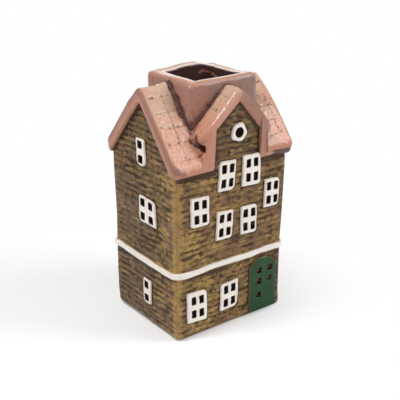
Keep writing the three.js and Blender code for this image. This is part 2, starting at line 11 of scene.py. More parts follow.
import bpy
import numpy as np
from bpy.props import FloatProperty, FloatVectorProperty, PointerProperty
from bpy.types import Operator, Panel, PropertyGroup
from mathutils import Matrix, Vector


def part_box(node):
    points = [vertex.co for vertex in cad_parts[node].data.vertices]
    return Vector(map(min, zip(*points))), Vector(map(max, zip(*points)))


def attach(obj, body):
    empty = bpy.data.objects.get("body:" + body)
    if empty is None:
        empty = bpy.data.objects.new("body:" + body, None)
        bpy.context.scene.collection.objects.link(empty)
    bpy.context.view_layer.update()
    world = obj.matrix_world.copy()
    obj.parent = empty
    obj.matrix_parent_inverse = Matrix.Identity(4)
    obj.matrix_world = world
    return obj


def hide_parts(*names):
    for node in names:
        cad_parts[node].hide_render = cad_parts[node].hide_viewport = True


bl_info = {
    "name": "House candle holder",
    "version": (1, 0, 0),
    "blender": (4, 5, 0),
    "location": "3D View > Sidebar > Candle house",
    "description": "Makes a glazed pottery tealight house piece by piece",
    "category": "Add Mesh",
}

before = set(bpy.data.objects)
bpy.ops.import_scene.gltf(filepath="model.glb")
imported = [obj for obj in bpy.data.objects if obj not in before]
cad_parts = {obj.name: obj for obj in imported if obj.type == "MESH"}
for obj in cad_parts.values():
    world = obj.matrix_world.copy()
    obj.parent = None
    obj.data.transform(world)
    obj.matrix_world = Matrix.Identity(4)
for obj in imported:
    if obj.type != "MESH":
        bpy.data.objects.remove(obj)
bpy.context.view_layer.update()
MM = 0.001


def node_box(node):
    """Lowest and highest corner of a solid of the model, in millimetres."""
    low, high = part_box(node)
    return np.array(low) / MM, np.array(high) / MM

# House body, as the solids give it
HALF_WIDTH, HALF_DEPTH, FLOOR_TOP = node_box("floor_slab")[1]
FRONT_LOW, FRONT_HIGH = node_box("front_wall")
WALL = FRONT_HIGH[1] - FRONT_LOW[1]
CORNER_RADIUS = 4.5
FOOT_RADIUS = 4.0
EAVE_HEIGHT = 115.0

# Each face: its unit vector along and outwards, how far out it lies and its half length
FACES = {
    "front": ((1, 0), (0, -1), HALF_DEPTH, HALF_WIDTH),
    "right": ((0, 1), (1, 0), HALF_WIDTH, HALF_DEPTH),
    "back": ((-1, 0), (0, 1), HALF_DEPTH, HALF_WIDTH),
    "left": ((0, -1), (-1, 0), HALF_WIDTH, HALF_DEPTH),
}

# Main roof
ROOF_LOW, ROOF_HIGH = node_box("roof_back")
VERGE, EAVE = ROOF_HIGH[:2]
RIDGE_Y = ROOF_LOW[1]
RIDGE_HEIGHT = 169.6
ROOF_DROP = 11.0
ROOF_AT_WALL = EAVE_HEIGHT + ROOF_DROP

# Dormer, with the inner faces of its slopes and legs
DORMER_LOW, DORMER_HIGH = node_box("dormer_roof_left")
DORMER_X = DORMER_HIGH[0]
DORMER_HALF = DORMER_HIGH[0] - DORMER_LOW[0]
DORMER_SLOPE = 1.06
DORMER_RIDGE = 166.5
KNEE_HEIGHT = DORMER_RIDGE - DORMER_SLOPE * DORMER_HALF
GABLE_INNER_X, GABLE_INNER_TOP = 3.8, 158.0
GABLE_INNER_SLOPES = (0.86, 1.2)
GABLE_INNER_LEGS = (-16.6, 20.9)
SLANT = math.hypot(1, DORMER_SLOPE)

# Collar: the corners of its box are moved a little off those of its solid, to the right and back
COLLAR_MOVED = ((0.5, 2.3, 0.0), (1.4, 0.0, 0.0))
COLLAR_LOW, COLLAR_HIGH = np.add(node_box("chimney_collar"), COLLAR_MOVED)
COLLAR_CENTRE = (COLLAR_LOW[:2] + COLLAR_HIGH[:2]) / 2
COLLAR_HALF = (COLLAR_HIGH[:2] - COLLAR_LOW[:2]) / 2
COLLAR_FOOT_RADIUS = 3.6
COLLAR_COVER = COLLAR_LOW[1] + 2.2
BORE_CENTRE = np.array([3.4, -0.2])
BORE_HALF = np.array([19.4, 17.0])
BORE_RADIUS = 3.0

# String course and doorway
BAND_BOTTOM, BAND_TOP = [corner[2] for corner in node_box("string_course_front")]
DOORWAY_HALF, DOORWAY_SPRING, DOORWAY_RISE = 24.0, 26.0, 16.5


# Colours are written as a painter reads them, from 0 to 255 in sRGB
def colour(red, green, blue):
    """The linear value of an sRGB colour."""
    scaled = np.array([red, green, blue]) / 255
    return tuple(np.where(scaled <= 0.04045, scaled / 12.92, ((scaled + 0.055) / 1.055) ** 2.4))


def length(name, description, default):
    return FloatProperty(
        name=name, description=description, default=default, subtype="DISTANCE", unit="LENGTH"
    )


def tint(name, description, default):
    return FloatVectorProperty(
        name=name, description=description, default=default, subtype="COLOR", size=3, min=0, max=1
    )


class HouseSizes(PropertyGroup):
    course: length("Course", "Height of a brick with its joint", 0.0042)
    brick: length("Brick", "Length of a brick with its joint", 0.0112)
    joint_depth: length("Joint depth", "How deep the brick joints are scored", 0.00055)
    lean: length("Lean", "How far the walls lean out at the eaves", 0.001)
    tile: length("Tile", "Distance between the lines scored into the roof", 0.0106)
    score_depth: length("Score depth", "How deep the roof is scored", 0.0004)
    groove_depth: length("Groove depth", "Depth of the grooves where slabs of clay join", 0.0008)
    wobble: length("Wobble", "How far hand-built faces wander", 0.00035)
    plaque: length("Plaque", "How far windows, band and door stand proud", 0.0012)
    grid: length("Grid", "Distance between the points of a surface", 0.0005)


class HouseGlazes(PropertyGroup):
    olive: tint("Olive", "Brick glaze where it is thin", colour(113, 94, 51))
    ochre: tint("Ochre", "Brick glaze where it is thick", colour(176, 143, 82))
    umber: tint("Umber", "Brown brick glaze", colour(126, 93, 66))
    # Plum also stands for painted shade on the walls and under the roof
    plum: tint("Plum", "Purple-brown in the joints", colour(58, 37, 24))
    salmon: tint("Salmon", "Roof glaze", colour(194, 142, 116))
    sand: tint("Sand", "Pale roof glaze near the ridge", colour(196, 163, 141))
    coral: tint("Coral", "Pink roof glaze along the edges", colour(186, 120, 99))
    # Mauve also stands for brown painted shade on rims of the roof
    mauve: tint("Mauve", "Collar glaze and the ends of the roof slabs", colour(164, 121, 107))
    slate: tint("Slate", "Grey patches of the collar glaze", colour(148, 124, 114))
    # Wine also stands for painted shade in the seams of the roof and at the foot of the collar
    wine: tint("Wine", "Dark glaze in the grooves of the roof", colour(74, 48, 48))
    # Ivory also stands for a painted highlight along the rim of the collar
    ivory: tint("Ivory", "Windows and band", colour(236, 228, 219))
    green: tint("Green", "Door", colour(14, 64, 24))
    # The dark colour of the inside: the lining of the walls, the bore and the reveals of the holes
    soot: tint("Soot", "Glaze inside the house", colour(54, 36, 36))


def sizes():
    """The sizes of the panel in millimetres."""
    group = bpy.context.scene.house_sizes
    return {key: getattr(group, key) / MM for key in HouseSizes.__annotations__}


# Numpy helpers. Seeded numbers are drawn on square lattices of these sizes
LATTICE = 64
DRAWS = 97


def smooth(low, high, x):
    """0 below low, 1 above high, and a cubic step between."""
    t = np.clip((x - low) / (high - low), 0, 1)
    return t * t * (3 - 2 * t)


def bell(x, width):
    """1 at zero, falling away as a Gauss curve."""
    return np.exp(-((x / width) ** 2))


def around(distance, width):
    """1 up to a distance of zero, falling away as a Gauss curve past it."""
    return bell(np.maximum(distance, 0), width)


def ripple(x, y, size, seed):
    """Smooth noise from -1 to 1: seeded heights on a square lattice, blended by fifth-power steps."""
    heights = np.random.default_rng(seed).uniform(-1, 1, (LATTICE, LATTICE))
    fx, fy = np.broadcast_arrays(np.asarray(x, float) / size, np.asarray(y, float) / size)
    ix, iy = np.floor(fx).astype(int), np.floor(fy).astype(int)
    tx, ty = [t**3 * (t * (6 * t - 15) + 10) for t in (fx - ix, fy - iy)]
    next_x, next_y = (ix + 1) % LATTICE, (iy + 1) % LATTICE
    ix, iy = ix % LATTICE, iy % LATTICE
    near = heights[ix, iy] * (1 - tx) + heights[next_x, iy] * tx
    far = heights[ix, next_y] * (1 - tx) + heights[next_x, next_y] * tx
    return near * (1 - ty) + far * ty


def layers(x, y, parts, seed=0):
    """Ripples added up. Each has a strength, a size, how much flatter than long it is, and a seed."""
    return sum(strength * ripple(x, y * flat, size, seed + own) for strength, size, flat, own in parts)


def pick(a, b, seed):
    """One seeded number from 0 to 1 for each pair of whole numbers."""
    draws = np.random.default_rng(seed).uniform(0, 1, (DRAWS, DRAWS))
    return draws[a.astype(int) % DRAWS, b.astype(int) % DRAWS]


# Forms. Stops closer than this are one, a rounding has so many points to a step and so many at least, and
# takes at most a share of the thickness from each skin. A rim is moved on to its line in a few passes, by at
# most a share of a cell of the grid
SAME_STOP = 1e-6
ROUNDED_STEPS, ROUNDED_LEAST = 1.4, 4
SKIN_SHARE, SKIN_LEAST = 0.49, 1e-9
RIM_PASSES, RIM_REACH, RIM_NUDGE, RIM_FLATTEST = 3, 0.8, 1e-3, 1e-3
CREASE = 60.0


def stops(values, step):
    """Points that include every given value, with even steps no longer than step between them."""
    values = sorted(values)
    runs = [
        np.linspace(a, b, max(2, math.ceil((b - a) / step) + 1))[:-1]
        for a, b in zip(values[:-1], values[1:])
        if b - a > SAME_STOP
    ]
    return np.concatenate([*runs, [values[-1]]])


def eased(start, end, step, reach, ends=(True, True)):
    """Points from start to end, drawn together over a reach at either end, where a rounding needs them."""
    count = max(ROUNDED_LEAST, math.ceil(ROUNDED_STEPS * reach / step)) + 1
    turn = 1 - np.cos(np.linspace(0, np.pi / 2, count))
    low = start + reach * turn if ends[0] else np.array([start])
    high = (end - reach * turn)[::-1] if ends[1] else np.array([end])
    middle = np.linspace(low[-1], high[0], max(2, math.ceil((high[0] - low[-1]) / step) + 1))
    return np.concatenate([low[:-1], middle, high[1:]])


def soft_max(a, b, width):
    """The larger of two values, with a rounded change-over of the given width."""
    h = np.clip(0.5 + 0.5 * (a - b) / width, 0, 1)
    return b + (a - b) * h + width * h * (1 - h)


def closing(distance, radius):
    """How far a skin closes in, at a distance from a rim that is rounded by a quarter circle."""
    t = np.clip(1 - distance / radius, 0, 1)
    return radius * (1 - np.sqrt(np.clip(1 - t * t, 0, 1)))


def rounded_box(x, y, half, corners):
    """Signed distance to a box with a rounding for each corner, top left first and then clockwise."""
    top_left, top_right, bottom_right, bottom_left = corners
    r = np.where(x > 0, np.where(y > 0, top_right, bottom_right), np.where(y > 0, top_left, bottom_left))
    qx = np.abs(x) - half[0] + r
    qy = np.abs(y) - half[1] + r
    return np.minimum(np.maximum(qx, qy), 0) + np.hypot(np.maximum(qx, 0), np.maximum(qy, 0)) - r


def arch(x, z, half, spring, rise):
    """Negative inside a shape with upright sides and a half ellipse for a head."""
    head = (np.hypot(x / half, (z - spring) / rise) - 1) * min(half, rise)
    return np.where(z < spring, np.abs(x) - half, head)


def soften(outer, inner, edge, radius):
    """Rounds the rim of a shell: near an edge both skins close in by a quarter circle."""
    across = inner - outer
    gap = np.linalg.norm(across, axis=-1)
    close = np.minimum(closing(edge, radius), SKIN_SHARE * gap)
    step = (across / np.maximum(gap, SKIN_LEAST)[..., None]) * close[..., None]
    return outer + step, inner - step


def settle_rim(u, v, region, reach):
    """Points moved to where region is zero, by at most the reach in either direction."""
    at_u, at_v, h = u.copy(), v.copy(), RIM_NUDGE
    for _ in range(RIM_PASSES):
        value = region(at_u, at_v)
        gu = (region(at_u + h, at_v) - region(at_u - h, at_v)) / (2 * h)
        gv = (region(at_u, at_v + h) - region(at_u, at_v - h)) / (2 * h)
        size = np.maximum(gu**2 + gv**2, RIM_FLATTEST)
        at_u -= np.clip(value * gu / size, -reach, reach)
        at_v -= np.clip(value * gv / size, -reach, reach)
    return np.clip(at_u, u - reach, u + reach), np.clip(at_v, v - reach, v + reach)


def shell(us, vs, region, skins):
    """A closed shell over the part of a grid where region(u, v) is negative.

    skins(u, v) gives the outer and the inner points. Cells whose middle lies inside are kept, the points on
    the rim are moved to where region is zero, and the two skins are joined by faces all along the rim.
    """
    u, v = np.meshgrid(us, vs, indexing="ij")
    kept = region((u[:-1, :-1] + u[1:, 1:]) / 2, (v[:-1, :-1] + v[1:, 1:]) / 2) < 0
    ring = np.pad(kept, 1)
    parts = np.stack([ring[:-1, :-1], ring[1:, :-1], ring[:-1, 1:], ring[1:, 1:]])
    used, rim = parts.any(0), parts.any(0) & ~parts.all(0)
    rim[[0, -1], :] = False
    rim[:, [0, -1]] = False
    reach = RIM_REACH * max(np.diff(us).max(), np.diff(vs).max())
    u[rim], v[rim] = settle_rim(u[rim], v[rim], region, reach)
    outer, inner = skins(u, v)
    count = int(used.sum())
    index = np.full(u.shape, -1)
    index[used] = np.arange(count)
    a, b, c, d = index[:-1, :-1], index[1:, :-1], index[1:, 1:], index[:-1, 1:]
    top = np.stack([a, b, c, d], -1)[kept]
    sides = [
        (kept & ~ring[1:-1, :-2], a, b),
        (kept & ~ring[2:, 1:-1], b, c),
        (kept & ~ring[1:-1, 2:], c, d),
        (kept & ~ring[:-2, 1:-1], d, a),
    ]
    skirts = [np.stack([y[m], x[m], x[m] + count, y[m] + count], -1) for m, x, y in sides]
    faces = np.concatenate([top, top[:, ::-1] + count, *skirts])
    return np.concatenate([outer[used], inner[used]]), faces, (u[used], v[used])


def tube(points):
    """Faces over rows of points that close both ways, for points of the shape (rows, columns, 3)."""
    rows, columns = points.shape[:2]
    index = np.arange(rows * columns).reshape(rows, columns)
    down, along = np.roll(index, -1, 0), np.roll(index, -1, 1)
    faces = np.stack([index, along, np.roll(down, -1, 1), down], -1).reshape(-1, 4)
    return points.reshape(-1, 3), faces


def both(outside, inside=0.0):
    """Paint for the outer skin of a shell, with one value for the inner skin behind it."""
    return np.concatenate([outside, np.full(len(outside), inside)])


def piece(name, points, faces, nodes, material, paint, crease=CREASE):
    """A finished piece: its mesh in metres, its painted attributes and its material, under the body's root;
    the solids that it stands for are hidden.
    """
    mesh = bpy.data.meshes.new(name)
    mesh.from_pydata((points * MM).tolist(), [], faces if isinstance(faces, list) else faces.tolist())
    mesh.validate()
    for key, values in paint.items():
        layer = mesh.attributes.new(key, "FLOAT", "POINT")
        layer.data.foreach_set("value", np.asarray(values, np.float32))
    mesh.shade_smooth()
    mesh.set_sharp_from_angle(angle=math.radians(crease))
    mesh.materials.append(material)
    made = bpy.data.objects.new(name, mesh)
    bpy.context.scene.collection.objects.link(made)
    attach(made, "root")
    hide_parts(*nodes)


# The walls. A pair is levels between which something sets in, and a list is read by the function layers
SEEDS_PER_FACE = 20
MITRE_OVERLAP = 0.02
LINING_TURN = 1.0
# How far each side of the fired house stands out past the solids
SPREAD = {"left": 0.1, "right": 1.4, "front": 0.2, "back": 2.0}
# The lower storey stands a little to the left, between its top and its foot
STOREY_SHIFT = 0.8
STOREY_TOP, STOREY_FOOT = (75, 45), (0, 14)
WALL_DRIFT_SIZE, WALL_DRIFT_SEED = 24, 11
CORNER_FADE = 6.0

# The bond: how the courses wander, how long the dashes of a bed joint are and which head joints are scored
COURSE_WAVE = [(0.8, 15, 1, 1), (0.35, 5, 1, 2)]
BOND_SEED, BED_SEED, HEAD_SEED = 3, 4, 5
BED_DASH = 7.5
DASH_SETS_IN = (-0.3, 0.45)
DASH_SPREAD = (6.1, 3.7)
DASH_BREAKS = 0.35
HEAD_CHANCE = (0.6, 0.68)
CALM_SIDES = 0.6

# The relief of the bricks
BED_WIDTH, BED_LEAST = 0.62, 0.3
HEAD_WIDTH, HEAD_DEPTH = 0.5, 0.8
BRICK_LIFT, BRICK_LIFT_SEED, BRICK_EDGE = 0.3, 7, (0.2, 1.0)
COURSE_BULGE = 0.25
BRICK_GRIT = [(0.16, 3.5, 2.5, 8), (0.1, 1.3, 1.5, 9)]

# The glaze in the joints: lines, blots along them and pools anywhere
LINE_WIDTH, LINE_LEAST, LINE_MORE, LINE_HEAD = 0.5, 0.25, 0.65, 0.5
FAINT_SIZE, FAINT_SEED, FAINT_SETS_IN = 13, 18, (0.35, -0.25)
BLOT_SIZE, BLOT_SEED, BLOT_SETS_IN, BLOT_FLAT = 2.2, 6, (0.1, 0.5), 1.2
BLOT_WIDTH, BLOT_LEAST, BLOT_STRENGTH = 1.2, 0.4, 0.9
POOL_SIZE, POOL_SEED, POOL_SETS_IN, POOL_FLAT, POOL_STRENGTH = 4.2, 19, (0.34, 0.6), 2.2, 0.5
SIDE_DARK, SIDE_CORNER_LESS, SIDE_CORNER_REACH = 1.2, 0.75, (10, 3)

# The tone of a brick runs from olive to ochre and its hue to umber; the sides are painted darker as shade,
# and darker towards the back
BRICK_TONE = [(0.26, 8, 1.6, 12), (0.4, 2.6, 2.4, 13)]
BRICK_HUE = [(0.45, 10, 1.6, 15), (0.35, 3.4, 2.4, 17)]
BRICK_OWN, BRICK_TONE_SEED, BRICK_HUE_SEED = 0.16, 14, 16
SIDE_CONTRAST, SIDE_PAINTED_SHADE, SIDE_NEAR, SIDE_NEAR_REACH = 1.3, 0.58, 0.4, (-10, 34)

# Scoring stops at the round corners, at the band and at the foot
KEEP_EDGE, KEEP_RAGGED, KEEP_SIZE, KEEP_SEED = 2.4, 1.2, 2.4, 10
KEEP_CORNER = (0.4, 1.2)
KEEP_BAND = (0.4, 1.2)
KEEP_FOOT = (1.0, 3.0)

# Glaze gathered round what is pressed on the walls and under the band, with painted shadow that is shifted
# to the right and down: width of the rim and how dark it is
POOL_SHADE_RAGGED = [(0.35, 2.6, 1, 91)]
SHADOW_SHIFT = (0.3, 0.35)
POOL_SHADE_CORNERS = [1.5] * 4
POOL_SHADE_WINDOW, POOL_SHADE_ROUND, POOL_SHADE_DOOR, DOOR_POOL_SHADE_GAP = (0.75, 0.8), (0.7, 0.75), (0.8, 1.0), 0.2
POOL_SHADE_BAND, BAND_POOL_SHADE_DEPTH, BAND_POOL_SHADE_EDGE = (1.8, 0.75), 1.4, (0, 0.6)
BAND_POOL_SHADE_WAVE = [(2.4, 11, 0, 92)]
# Painted shade on the walls close under the roof and beside the dormer's legs
ROOF_SHADE, ROOF_SHADE_REACH = 1.15, 3.0
ROOF_SHADE_RAGGED = [(0.9, 4, 1, 93), (0.4, 1.7, 1, 94)]
NO_ROOF = 99
LEG_SHADE_FROM = EAVE_HEIGHT - 2
ROOF_LINE_AT = 0.9

# The front left corner has a stripe of its own; the other corners get a little painted shade
STRIPE_WIDTH, STRIPE_SOFT, STRIPE_LEAST, STRIPE_END = 3.4, 0.8, 0.35, (0.0, 1.0)
STRIPE_WAVE = [(0.9, 3.1, 1, 95)]
STRIPE_REACH = 4 * CORNER_RADIUS
CORNER_SHADE, CORNER_SHADE_REACH = 0.5, (3.0, 1.5)

# Where the front wall is darker: in the gable, and with painted shade to the right and round the door
GABLE_DARKER, GABLE_DARK_FROM = 0.3, (114, 122)
FRONT_PAINTED_SHADE, FRONT_SHADE_FROM = 0.2, (-5, 40)
DOOR_PAINTED_SHADE, DOOR_SHADE_FROM, DOOR_SHADE_BELOW = 0.2, (5, 22), (48, 44)

# The holes of a wall are wider than those of the plaques on it, and its top is tucked into the roof
HOLE_MARGIN = 0.25
TUCK = 1.6
TALLER = 4.0
DOORWAY_ROUNDING = 1.6
WALL_STEPS = (1.15, 0.9)
FLOOR_STEP, FLOOR_ROWS, FLOOR_INSET = 1.6, 9, 0.9


def face_seed(face):
    """Where the seeds of a face start, so that no two faces look alike."""
    return SEEDS_PER_FACE * list(FACES).index(face)


def calm(face):
    """The brickwork of the sides changes less from brick to brick."""
    return CALM_SIDES if face in ("left", "right") else 1.0


def wall_ends(face):
    """The half length of a face up to the middle of its rounded corners."""
    return FACES[face][3] - CORNER_RADIUS + CORNER_RADIUS * np.pi / 4


def on_plan(face, a, b, z):
    """x, y and z at a distance a along a face and b out from the middle. The house spreads to every side."""
    along, outwards = FACES[face][:2]
    a, b, z = np.broadcast_arrays(a, b, z)
    x, y = a * along[0] + b * outwards[0], a * along[1] + b * outwards[1]
    x = x * (1 + np.where(x < 0, SPREAD["left"], SPREAD["right"]) / HALF_WIDTH)
    y = y * (1 + np.where(y < 0, SPREAD["front"], SPREAD["back"]) / HALF_DEPTH)
    return x, y, z


def wall_point(face, s, z, out=0.0):
    """The point of a face at a distance s along it and a height z, moved outwards by out.

    The plan is a rounded rectangle. The foot is rounded by a quarter circle, the wall leans out from the
    band upwards, and the lower storey stands a little to the left.
    """
    distance, half = FACES[face][2:]
    straight = half - CORNER_RADIUS
    turn = np.clip((np.abs(s) - straight) / CORNER_RADIUS, 0, np.pi / 4 + MITRE_OVERLAP)
    reach = CORNER_RADIUS + out - closing(z, FOOT_RADIUS)
    reach = reach + sizes()["lean"] * smooth(BAND_TOP, EAVE_HEIGHT, z)
    a = np.sign(s) * (np.minimum(np.abs(s), straight) + reach * np.sin(turn))
    x, y, z = on_plan(face, a, distance - CORNER_RADIUS + reach * np.cos(turn), z)
    return np.stack([x - STOREY_SHIFT * smooth(*STOREY_TOP, z) * smooth(*STOREY_FOOT, z), y, z], -1)


def lining_point(face, s, z):
    """The point on the inside of a wall behind s and z, straight behind except close to the corners."""
    distance, half = FACES[face][2:]
    end, limit = wall_ends(face), half - WALL
    start, far = limit - LINING_TURN, np.abs(s)
    a = np.where(far < start, far, start + (far - start) * (limit - start) / (end - start))
    return np.stack(on_plan(face, np.sign(s) * a, np.full_like(a, distance - WALL), z), -1)


def drift(face, s, z):
    """How far a hand-built wall wanders, with everything that is pressed on it."""
    fade = smooth(wall_ends(face), wall_ends(face) - CORNER_FADE, np.abs(s))
    return sizes()["wobble"] * ripple(s, z, WALL_DRIFT_SIZE, face_seed(face) + WALL_DRIFT_SEED) * fade


def dashes(s, row, reach, seed):
    """How strong a line of one row is along s: pieces of it come and go over the given reach."""
    long = ripple(s, row * DASH_SPREAD[0], reach, seed)
    short = ripple(s, row * DASH_SPREAD[1], reach / 3, seed + 1)
    return smooth(*DASH_SETS_IN, long + DASH_BREAKS * short)


def courses(face, s, z):
    """Row and column of the brick at a point, how far up it the point lies, and the joints round it.

    Bed joints lie a course apart and wander, a few head joints cross a course, and both fade in and out.
    Of each, the distance and the strength are given.
    """
    size, seed = sizes(), face_seed(face)
    level = (z - FLOOR_TOP + layers(s, z, COURSE_WAVE, seed)) / size["course"]
    row = np.floor(level)
    up = level - row
    place = s / size["brick"] + 0.5 * (row % 2) + 0.5 * pick(row, row * 0, seed + BOND_SEED)
    column = np.floor(place)
    bed = np.minimum(up, 1 - up) * size["course"]
    head = np.minimum(place - column, column + 1 - place) * size["brick"]
    bed_force = dashes(s, np.round(level), BED_DASH / calm(face), seed + BED_SEED)
    head_force = smooth(*HEAD_CHANCE, pick(row, np.round(place), seed + HEAD_SEED)) * calm(face)
    return row, column, up, (bed, bed_force), (head, head_force)


def brick_keep(face, s, z):
    """1 where a wall is scored: not on the round corners, under the band or at the foot."""
    end = wall_ends(face)
    edge = KEEP_EDGE + KEEP_RAGGED * ripple(s * 0, z, KEEP_SIZE, face_seed(face) + KEEP_SEED)
    inwards = smooth(end - KEEP_CORNER[0], end - edge - KEEP_CORNER[1], np.abs(s))
    above = smooth(BAND_TOP + KEEP_BAND[0], BAND_TOP + KEEP_BAND[1], z)
    below = smooth(BAND_BOTTOM - KEEP_BAND[0], BAND_BOTTOM - KEEP_BAND[1], z)
    return inwards * np.maximum(above, below) * smooth(*KEEP_FOOT, z)


def brick_relief(face, s, z):
    """Scored joints; each course bulges a little, and each brick stands at its own height."""
    seed = face_seed(face)
    row, column, up, (bed, bed_force), (head, head_force) = courses(face, s, z)
    cut = bell(bed, BED_WIDTH) * (BED_LEAST + (1 - BED_LEAST) * bed_force)
    cut = np.maximum(cut, bell(head, HEAD_WIDTH) * head_force * HEAD_DEPTH)
    lift = BRICK_LIFT * (pick(row, column, seed + BRICK_LIFT_SEED) - 0.5)
    lift = lift + COURSE_BULGE * (4 * up * (1 - up) - 0.5)
    relief = lift * smooth(*BRICK_EDGE, bed) + layers(s, z, BRICK_GRIT, seed) - sizes()["joint_depth"] * cut
    return relief * brick_keep(face, s, z) + drift(face, s, z)


def brick_colours(face, s, z):
    """How dark the joints are, and the tone and the hue of the bricks, each from 0 to 1."""
    seed = face_seed(face)
    row, column, _, (bed, bed_force), (head, head_force) = courses(face, s, z)
    faint = smooth(*FAINT_SETS_IN, ripple(s, z, FAINT_SIZE, seed + FAINT_SEED))
    line = bell(bed, LINE_WIDTH) * (LINE_LEAST + LINE_MORE * bed_force * faint)
    blot = smooth(*BLOT_SETS_IN, ripple(s, z * BLOT_FLAT, BLOT_SIZE / calm(face), seed + BLOT_SEED))
    blot = blot * bell(bed, BLOT_WIDTH) * (BLOT_LEAST + (1 - BLOT_LEAST) * faint)
    pool = smooth(*POOL_SETS_IN, ripple(s, z * POOL_FLAT, POOL_SIZE, seed + POOL_SEED)) * calm(face)
    dark = np.maximum(line, bell(head, HEAD_WIDTH) * head_force * LINE_HEAD)
    dark = dark + BLOT_STRENGTH * blot + POOL_STRENGTH * pool
    own_tone = BRICK_OWN * (pick(row, column, seed + BRICK_TONE_SEED) - 0.5)
    own_hue = BRICK_OWN * (pick(row, column, seed + BRICK_HUE_SEED) - 0.5)
    tone = 0.5 + layers(s, z, BRICK_TONE, seed) + calm(face) * own_tone
    hue = 0.5 + calm(face) * (layers(s, z, BRICK_HUE, seed) + own_hue)
    if face in ("left", "right"):
        near_corner = smooth(*SIDE_CORNER_REACH, wall_ends(face) - np.abs(s))
        dark = dark * (SIDE_DARK - SIDE_CORNER_LESS * near_corner)
        near = smooth(*SIDE_NEAR_REACH, s * FACES[face][2] / HALF_WIDTH)
        # Painted shade: the side walls are made darker, by less towards one end
        tone = SIDE_CONTRAST * tone - SIDE_PAINTED_SHADE + SIDE_NEAR * near
    return np.clip(dark, 0, 1) * brick_keep(face, s, z), np.clip(tone, 0, 1), np.clip(hue, 0, 1)


def pooled(distance, rim):
    """Glaze gathered round something pressed on a wall, with painted shadow, by its width and its strength.
    """
    width, strength = rim
    return around(distance, width) * strength


def pooling(face, s, z):
    """Glaze that gathers round the plaques and under the band, with painted shadow there, and painted shade
    under the roof, from 0 to 1.
    """
    ragged = layers(s, z, POOL_SHADE_RAGGED)
    # The dark rims are shifted to the right and down, where the painted shadow falls
    aside, up = SHADOW_SHIFT
    shades = [under_roof(face, s, z)]
    for name in WINDOWS:
        if name.startswith(face):
            across, height, half = window_local(name, s - aside, z + up)
            shades.append(pooled(rounded_box(across, height, half, POOL_SHADE_CORNERS) + ragged, POOL_SHADE_WINDOW))
    if face == "front":
        x0, z0, radius = round_window_place()
        shades.append(pooled(np.hypot(s - aside - x0, z + aside - z0) - radius + ragged, POOL_SHADE_ROUND))
        shades.append(pooled(door_outline(s, z)[0] + DOOR_POOL_SHADE_GAP, POOL_SHADE_DOOR))
    below = BAND_BOTTOM - z + layers(s, s, BAND_POOL_SHADE_WAVE)
    band = pooled(below - BAND_POOL_SHADE_DEPTH, POOL_SHADE_BAND)
    shades.append(band * smooth(*BAND_POOL_SHADE_EDGE, BAND_BOTTOM - z))
    return np.clip(np.maximum.reduce(shades), 0, 1)


def roof_line(face, s):
    """Height of the underside of the roof over a face."""
    if face == "back":
        return np.full_like(s, EAVE_HEIGHT)
    if face == "front":
        return np.where(gable_opening(s) < 0, gable_inner(s), EAVE_HEIGHT)
    y = s * FACES[face][0][1]
    return main_height(np.full_like(y, ROOF_LINE_AT * VERGE * FACES[face][1][0]), y) - ROOF_DROP


def under_roof(face, s, z):
    """Painted shade: 1 close under the roof and its dormer, 0 well below."""
    gap = roof_line(face, s) - z
    if face == "front":
        in_gable = gable_opening(s) < 0
        side = np.where(z > LEG_SHADE_FROM, -gable_opening(s), NO_ROOF)
        gap = np.minimum(gap / np.where(in_gable, SLANT, 1), side)
    elif face in ("left", "right"):
        gap = gap / SLANT
    ragged = layers(s, z, ROOF_SHADE_RAGGED)
    return np.clip(ROOF_SHADE - (gap + ragged) / ROOF_SHADE_REACH, 0, 1)


def wall_region(face, s, z):
    """Negative on the wall: under the roof, inside the corners and outside every opening."""
    if face == "front":
        gable = np.maximum((z - gable_inner(s) - TUCK) / SLANT, gable_opening(s) - TUCK)
        value = np.minimum(gable, z - EAVE_HEIGHT - TUCK)
    else:
        value = (z - roof_line(face, s) - TUCK) / (1 if face == "back" else SLANT)
    for name in WINDOWS:
        if name.startswith(face):
            value = np.maximum(value, -panes(name, s, z, wider=HOLE_MARGIN))
    if face == "front":
        x0, z0, _ = round_window_place()
        value = np.maximum(value, ROUND_WINDOW_HOLE + HOLE_MARGIN - np.hypot(s - x0, z - z0))
    if face == "back":
        value = np.maximum(value, -arch(s, z, DOORWAY_HALF, DOORWAY_SPRING, DOORWAY_RISE))
    return value


def wall_paint(face, s, z):
    """Dark joints, stripes on the front left corner, gathered glaze with painted shade and shadow, and the
    tone and hue of the bricks, which carry painted shade in places.
    """
    joint, tone, hue = brick_colours(face, s, z)
    edge = wall_ends(face) - np.abs(s)
    width = STRIPE_WIDTH + layers(s * 0, z, STRIPE_WAVE)
    corner = smooth(width + STRIPE_SOFT, width - STRIPE_SOFT, edge)
    corner = corner * (STRIPE_LEAST + (1 - STRIPE_LEAST) * smooth(*STRIPE_END, edge))
    place = wall_point(face, s, z)
    front_left_corner = np.hypot(place[..., 0] + HALF_WIDTH, place[..., 1] + HALF_DEPTH) < STRIPE_REACH
    # Painted shade on every corner but the front left one
    shade = pooling(face, s, z) + CORNER_SHADE * smooth(*CORNER_SHADE_REACH, edge) * ~front_left_corner
    if face == "front":
        # Painted shade to the right of the front wall and round the door; the gable is darker too
        tone = tone - GABLE_DARKER * smooth(*GABLE_DARK_FROM, z) - FRONT_PAINTED_SHADE * smooth(*FRONT_SHADE_FROM, s)
        tone = tone - DOOR_PAINTED_SHADE * smooth(*DOOR_SHADE_FROM, s) * smooth(*DOOR_SHADE_BELOW, z)
    return {
        "joint": joint,
        "corner": corner * front_left_corner,
        "shade": np.clip(shade, 0, 1),
        "tone": np.clip(tone, 0, 1),
        "hue": hue,
    }


